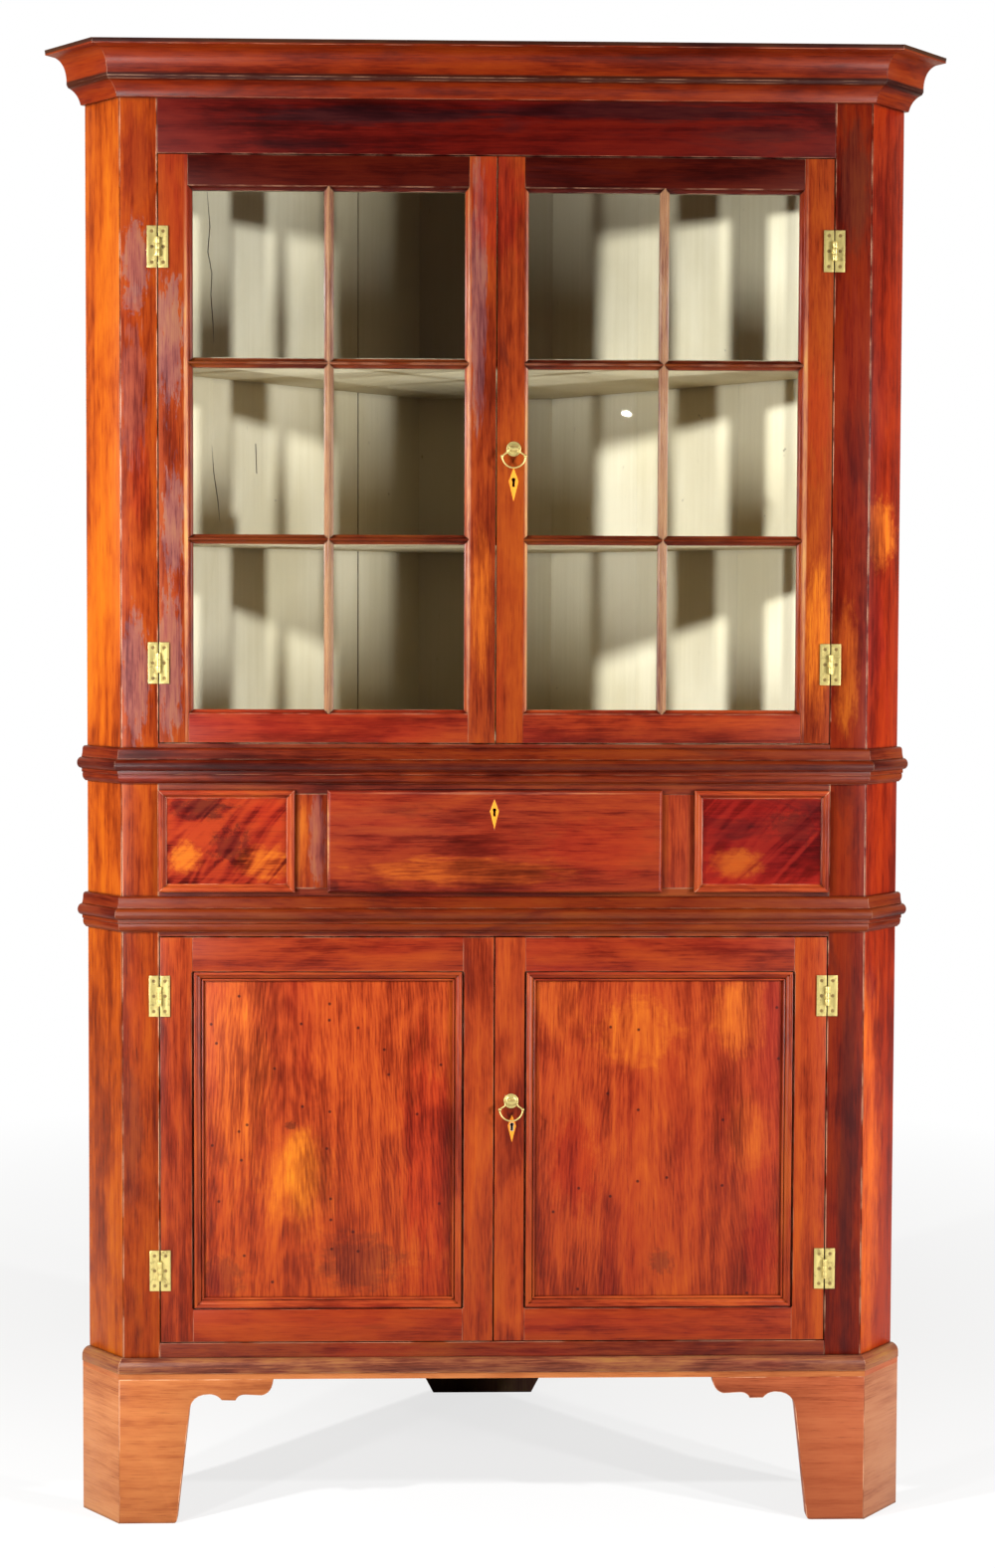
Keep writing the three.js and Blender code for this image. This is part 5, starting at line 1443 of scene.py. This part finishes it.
def countersink(place):
    bm = bmesh.new()
    turn = Matrix.Translation(place) @ Matrix.Rotation(math.pi / 2, 4, "X")
    bmesh.ops.create_cone(bm, cap_ends=True, segments=20, radius1=SINK_RADIUS * SINK_TAPER,
                          radius2=SINK_RADIUS, depth=2 * SINK_DEPTH, matrix=turn)
    return bm


SCREWS = {}
for hinge in HINGES:
    for leaf in ("frame_leaf", "door_leaf"):
        node = f"{hinge}_{leaf}"
        bm = copy_of(node)
        for place in leaf_screws(node):
            bm = boolean(bm, countersink(place), "DIFFERENCE")
            SCREWS.setdefault(BODY_OF[node], []).append(place + Y * SCREW_SUNK)
        assemble(node + "_brass", [Board(bm, "brass", Z, X, eased="leaf")], node)
print("hinges:", len(HINGES), "with", sum(map(len, SCREWS.values())), "screws")

# %% Pulls
for level in ("upper", "lower"):
    for part in ("plate", "bail"):
        node = f"pull_{level}_{part}"
        assemble(node + "_brass", [Board(copy_of(node), "brass", Z, X, eased="pull")], node)
print("pulls: a rosette and a bail each")

# %% [markdown]
# The hinge screws are all the same screw, so a Geometry Nodes tree makes them. It takes a mesh of points,
# builds one slotted head by cutting a bar out of a low cylinder, and puts a copy on each point with the
# slot turned its own way. The tree ends in real geometry with its material, because copies that are
# only shown would be lost when the model leaves Blender.

# %% A Geometry Nodes tree for heads on points
HEAD_THICK = 1 * MM
tree, given, put = new_group("Heads on points", [
    ("Geometry", "Geometry", None), ("Radius", "Float", SCREW_RADIUS), ("Thickness", "Float", HEAD_THICK),
    ("Slot width", "Float", 0.8 * MM), ("Slot depth", "Float", 0.6 * MM), ("Sides", "Int", 20),
    ("Seed", "Int", 1), ("Material", "Material", None)], [("Geometry", "Geometry")], editor="Geometry")
head = add(tree, "GeometryNodeMeshCylinder", {
    "Vertices": given["Sides"], "Radius": given["Radius"], "Depth": given["Thickness"]})
slot_size = add(tree, "CombineXYZ", {"X": 1.0, "Y": given["Slot width"], "Z": given["Slot depth"]})
slot_bar = add(tree, "GeometryNodeMeshCube", {"Size": slot_size.outputs[0]})
slot_at = add(tree, "CombineXYZ", {"Z": times(tree, given["Thickness"], 0.5)})
slot_up = add(tree, "GeometryNodeTransform", {
    "Geometry": slot_bar.outputs[0], "Translation": slot_at.outputs[0]})
slotted = add(tree, "GeometryNodeMeshBoolean", {
    "Mesh 1": head.outputs["Mesh"], "Mesh 2": slot_up.outputs[0]}, operation="DIFFERENCE")
# In a random number's node, input 3 is the largest value and output 1 is the number.
slot_turn = add(tree, "FunctionNodeRandomValue", {3: math.pi, "Seed": given["Seed"]}, data_type="FLOAT")
spin = add(tree, "CombineXYZ", {"X": math.pi / 2})
turned_head = add(tree, "CombineXYZ", {"Z": slot_turn.outputs[1]})
facing = add(tree, "FunctionNodeEulerToRotation", {"Euler": spin.outputs[0]})
own_turn = add(tree, "FunctionNodeEulerToRotation", {"Euler": turned_head.outputs[0]})
both_turns = add(tree, "FunctionNodeRotateRotation", {
    "Rotation": facing.outputs[0], "Rotate By": own_turn.outputs[0]}, rotation_space="LOCAL")
placed = add(tree, "GeometryNodeInstanceOnPoints", {
    "Points": given["Geometry"], "Instance": slotted.outputs[0], "Rotation": both_turns.outputs[0]})
real = add(tree, "GeometryNodeRealizeInstances", {"Geometry": placed.outputs[0]})
dressed = add(tree, "GeometryNodeSetMaterial", {
    "Geometry": real.outputs[0], "Material": given["Material"]})
tree.links.new(dressed.outputs[0], put[0])
heads_tree = tree


def from_tree(name, points, tree, values, body):
    """Runs a tree on a mesh of points, and keeps what it makes as a plain mesh that rides on a body."""
    mesh = bpy.data.meshes.new(name + "_points")
    mesh.from_pydata(points, [], [])
    source = link_mesh(name + "_points", mesh)
    modifier = source.modifiers.new("tree", "NODES")
    modifier.node_group = tree
    sockets = {item.name: item.identifier for item in tree.interface.items_tree if item.in_out == "INPUT"}
    for label, value in values.items():
        modifier[sockets[label]] = value
    made = bpy.data.meshes.new_from_object(source.evaluated_get(bpy.context.evaluated_depsgraph_get()))
    made.name = name
    bpy.data.objects.remove(source)
    made.set_sharp_from_angle(angle=SMOOTH_ANGLE)
    piece = link_mesh(name, made)
    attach(piece, body)
    return piece


# %% The hinge screws
FIRST_SEED = 3
for number, (body, places) in enumerate(sorted(SCREWS.items())):
    screws = from_tree("hinge_screws_" + body, places, heads_tree,
                       {"Seed": FIRST_SEED + number, "Material": FINISHES["screw"]}, body)
print("screws: last set has", len(screws.data.polygons), "faces")

# %% [markdown]
# Every joint of the frame was drawn tight by wooden pegs, and their ends show as small rounds of end
# grain that stand a hair proud. The same tree makes them, with nine rough sides and the slot shrunk to
# nothing. One shows in the picture, and three more go where the same joint repeats.

# %% Pegs
PEG_RADIUS = 3.6 * MM
PEG_PROUD = 0.25 * MM
PEG_THICK = 2 * MM
PEG_SEED = 11
NO_SLOT = 0.01 * MM
PEG_PIXELS = [(149, 139), (852, 141), (147, 1352), (845, 1349)]
FINISHES["peg"] = plain_material("peg_end_grain", (84, 30, 20), 0.5, grain=(300, 300, 300), spread=0.6,
                                 dark=(40, 16, 12))
places = [on_face(pixel) + Y * (PEG_THICK / 2 - PEG_PROUD) for pixel in PEG_PIXELS]
from_tree("pegs_case", places, heads_tree, {
    "Radius": PEG_RADIUS, "Thickness": PEG_THICK, "Slot width": NO_SLOT, "Slot depth": NO_SLOT, "Sides": 9,
    "Seed": PEG_SEED, "Material": FINISHES["peg"]}, "case")
print("pegs:", len(PEG_PIXELS))

# %% [markdown]
# Behind each keyhole an iron lock lies on the inside of the board and hides the hole from behind. A
# door's lock has a brass bolt that shoots to the side. The lowest keyhole still has its thin metal
# lining, which catches the light.

# %% Locks
LOCK_SIZE = (38 * MM, 9 * MM, 52 * MM)
BOLT_SIZE = (7 * MM, 4 * MM, 15 * MM)
BOLT_SHOWN = 0.3 * MM
BOLT_BACK = 2 * MM
LINING_RIM = 0.9 * MM
LINING_PROUD, LINING_DEPTH = 0.5 * MM, 3 * MM
FINISHES["iron"] = plain_material("old_iron", (84, 76, 70), 0.5, metal=0.85, grain=(120, 120, 120),
                                  spread=0.8, dark=(58, 34, 22))
LOCK_HOSTS = {"door_upper_right": "door_upper_right_sash", "door_lower_right": "door_lower_right_frame",
              "drawer": "drawer_front"}


def lock(name, node):
    """A lock case on the back of its board, with a bolt if the board is a door's."""
    centre, _ = lock_place(name)
    low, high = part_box(node)
    is_drawer = name == "drawer"
    width, depth, height = LOCK_SIZE
    if is_drawer:
        width, height = height, width
    left = centre.x - width / 2 if is_drawer else max(low.x + BOLT_SHOWN, centre.x - width / 2)
    bottom = centre.z - height / 2
    case = box_mesh((left, high.y, bottom), (left + width, high.y + depth, bottom + height))
    bolt_low = (left - BOLT_SHOWN, high.y + BOLT_BACK, centre.z - BOLT_SIZE[2] / 2)
    bolt_high = (left + BOLT_SIZE[0], high.y + BOLT_BACK + BOLT_SIZE[1], centre.z + BOLT_SIZE[2] / 2)
    boards = [Board(case, "iron", Z, X, eased="lock")]
    if not is_drawer:
        boards.append(Board(box_mesh(bolt_low, bolt_high), "brass", Z, X, eased="bolt"))
    return assemble(name + "_lock", boards, node, stands_for=False)


def keyhole_lining(name, node):
    """A thin tube of metal in the shape of the keyhole."""
    centre, share = lock_place(name)
    rim = prism(key_outline(centre, share, LINING_RIM), centre.y - LINING_PROUD, centre.y + LINING_DEPTH)
    hole = prism(key_outline(centre, share), centre.y - BEYOND, centre.y + 2 * BEYOND)
    lining = Board(boolean(rim, hole, "DIFFERENCE"), "silver", Z, X, eased="lining")
    return assemble(name + "_keyhole_lining", [lining], node, stands_for=False)


for name, node in LOCK_HOSTS.items():
    lock(name, node)
keyhole_lining("door_lower_right", "door_lower_right_frame")
print("locks:", len(LOCK_HOSTS))
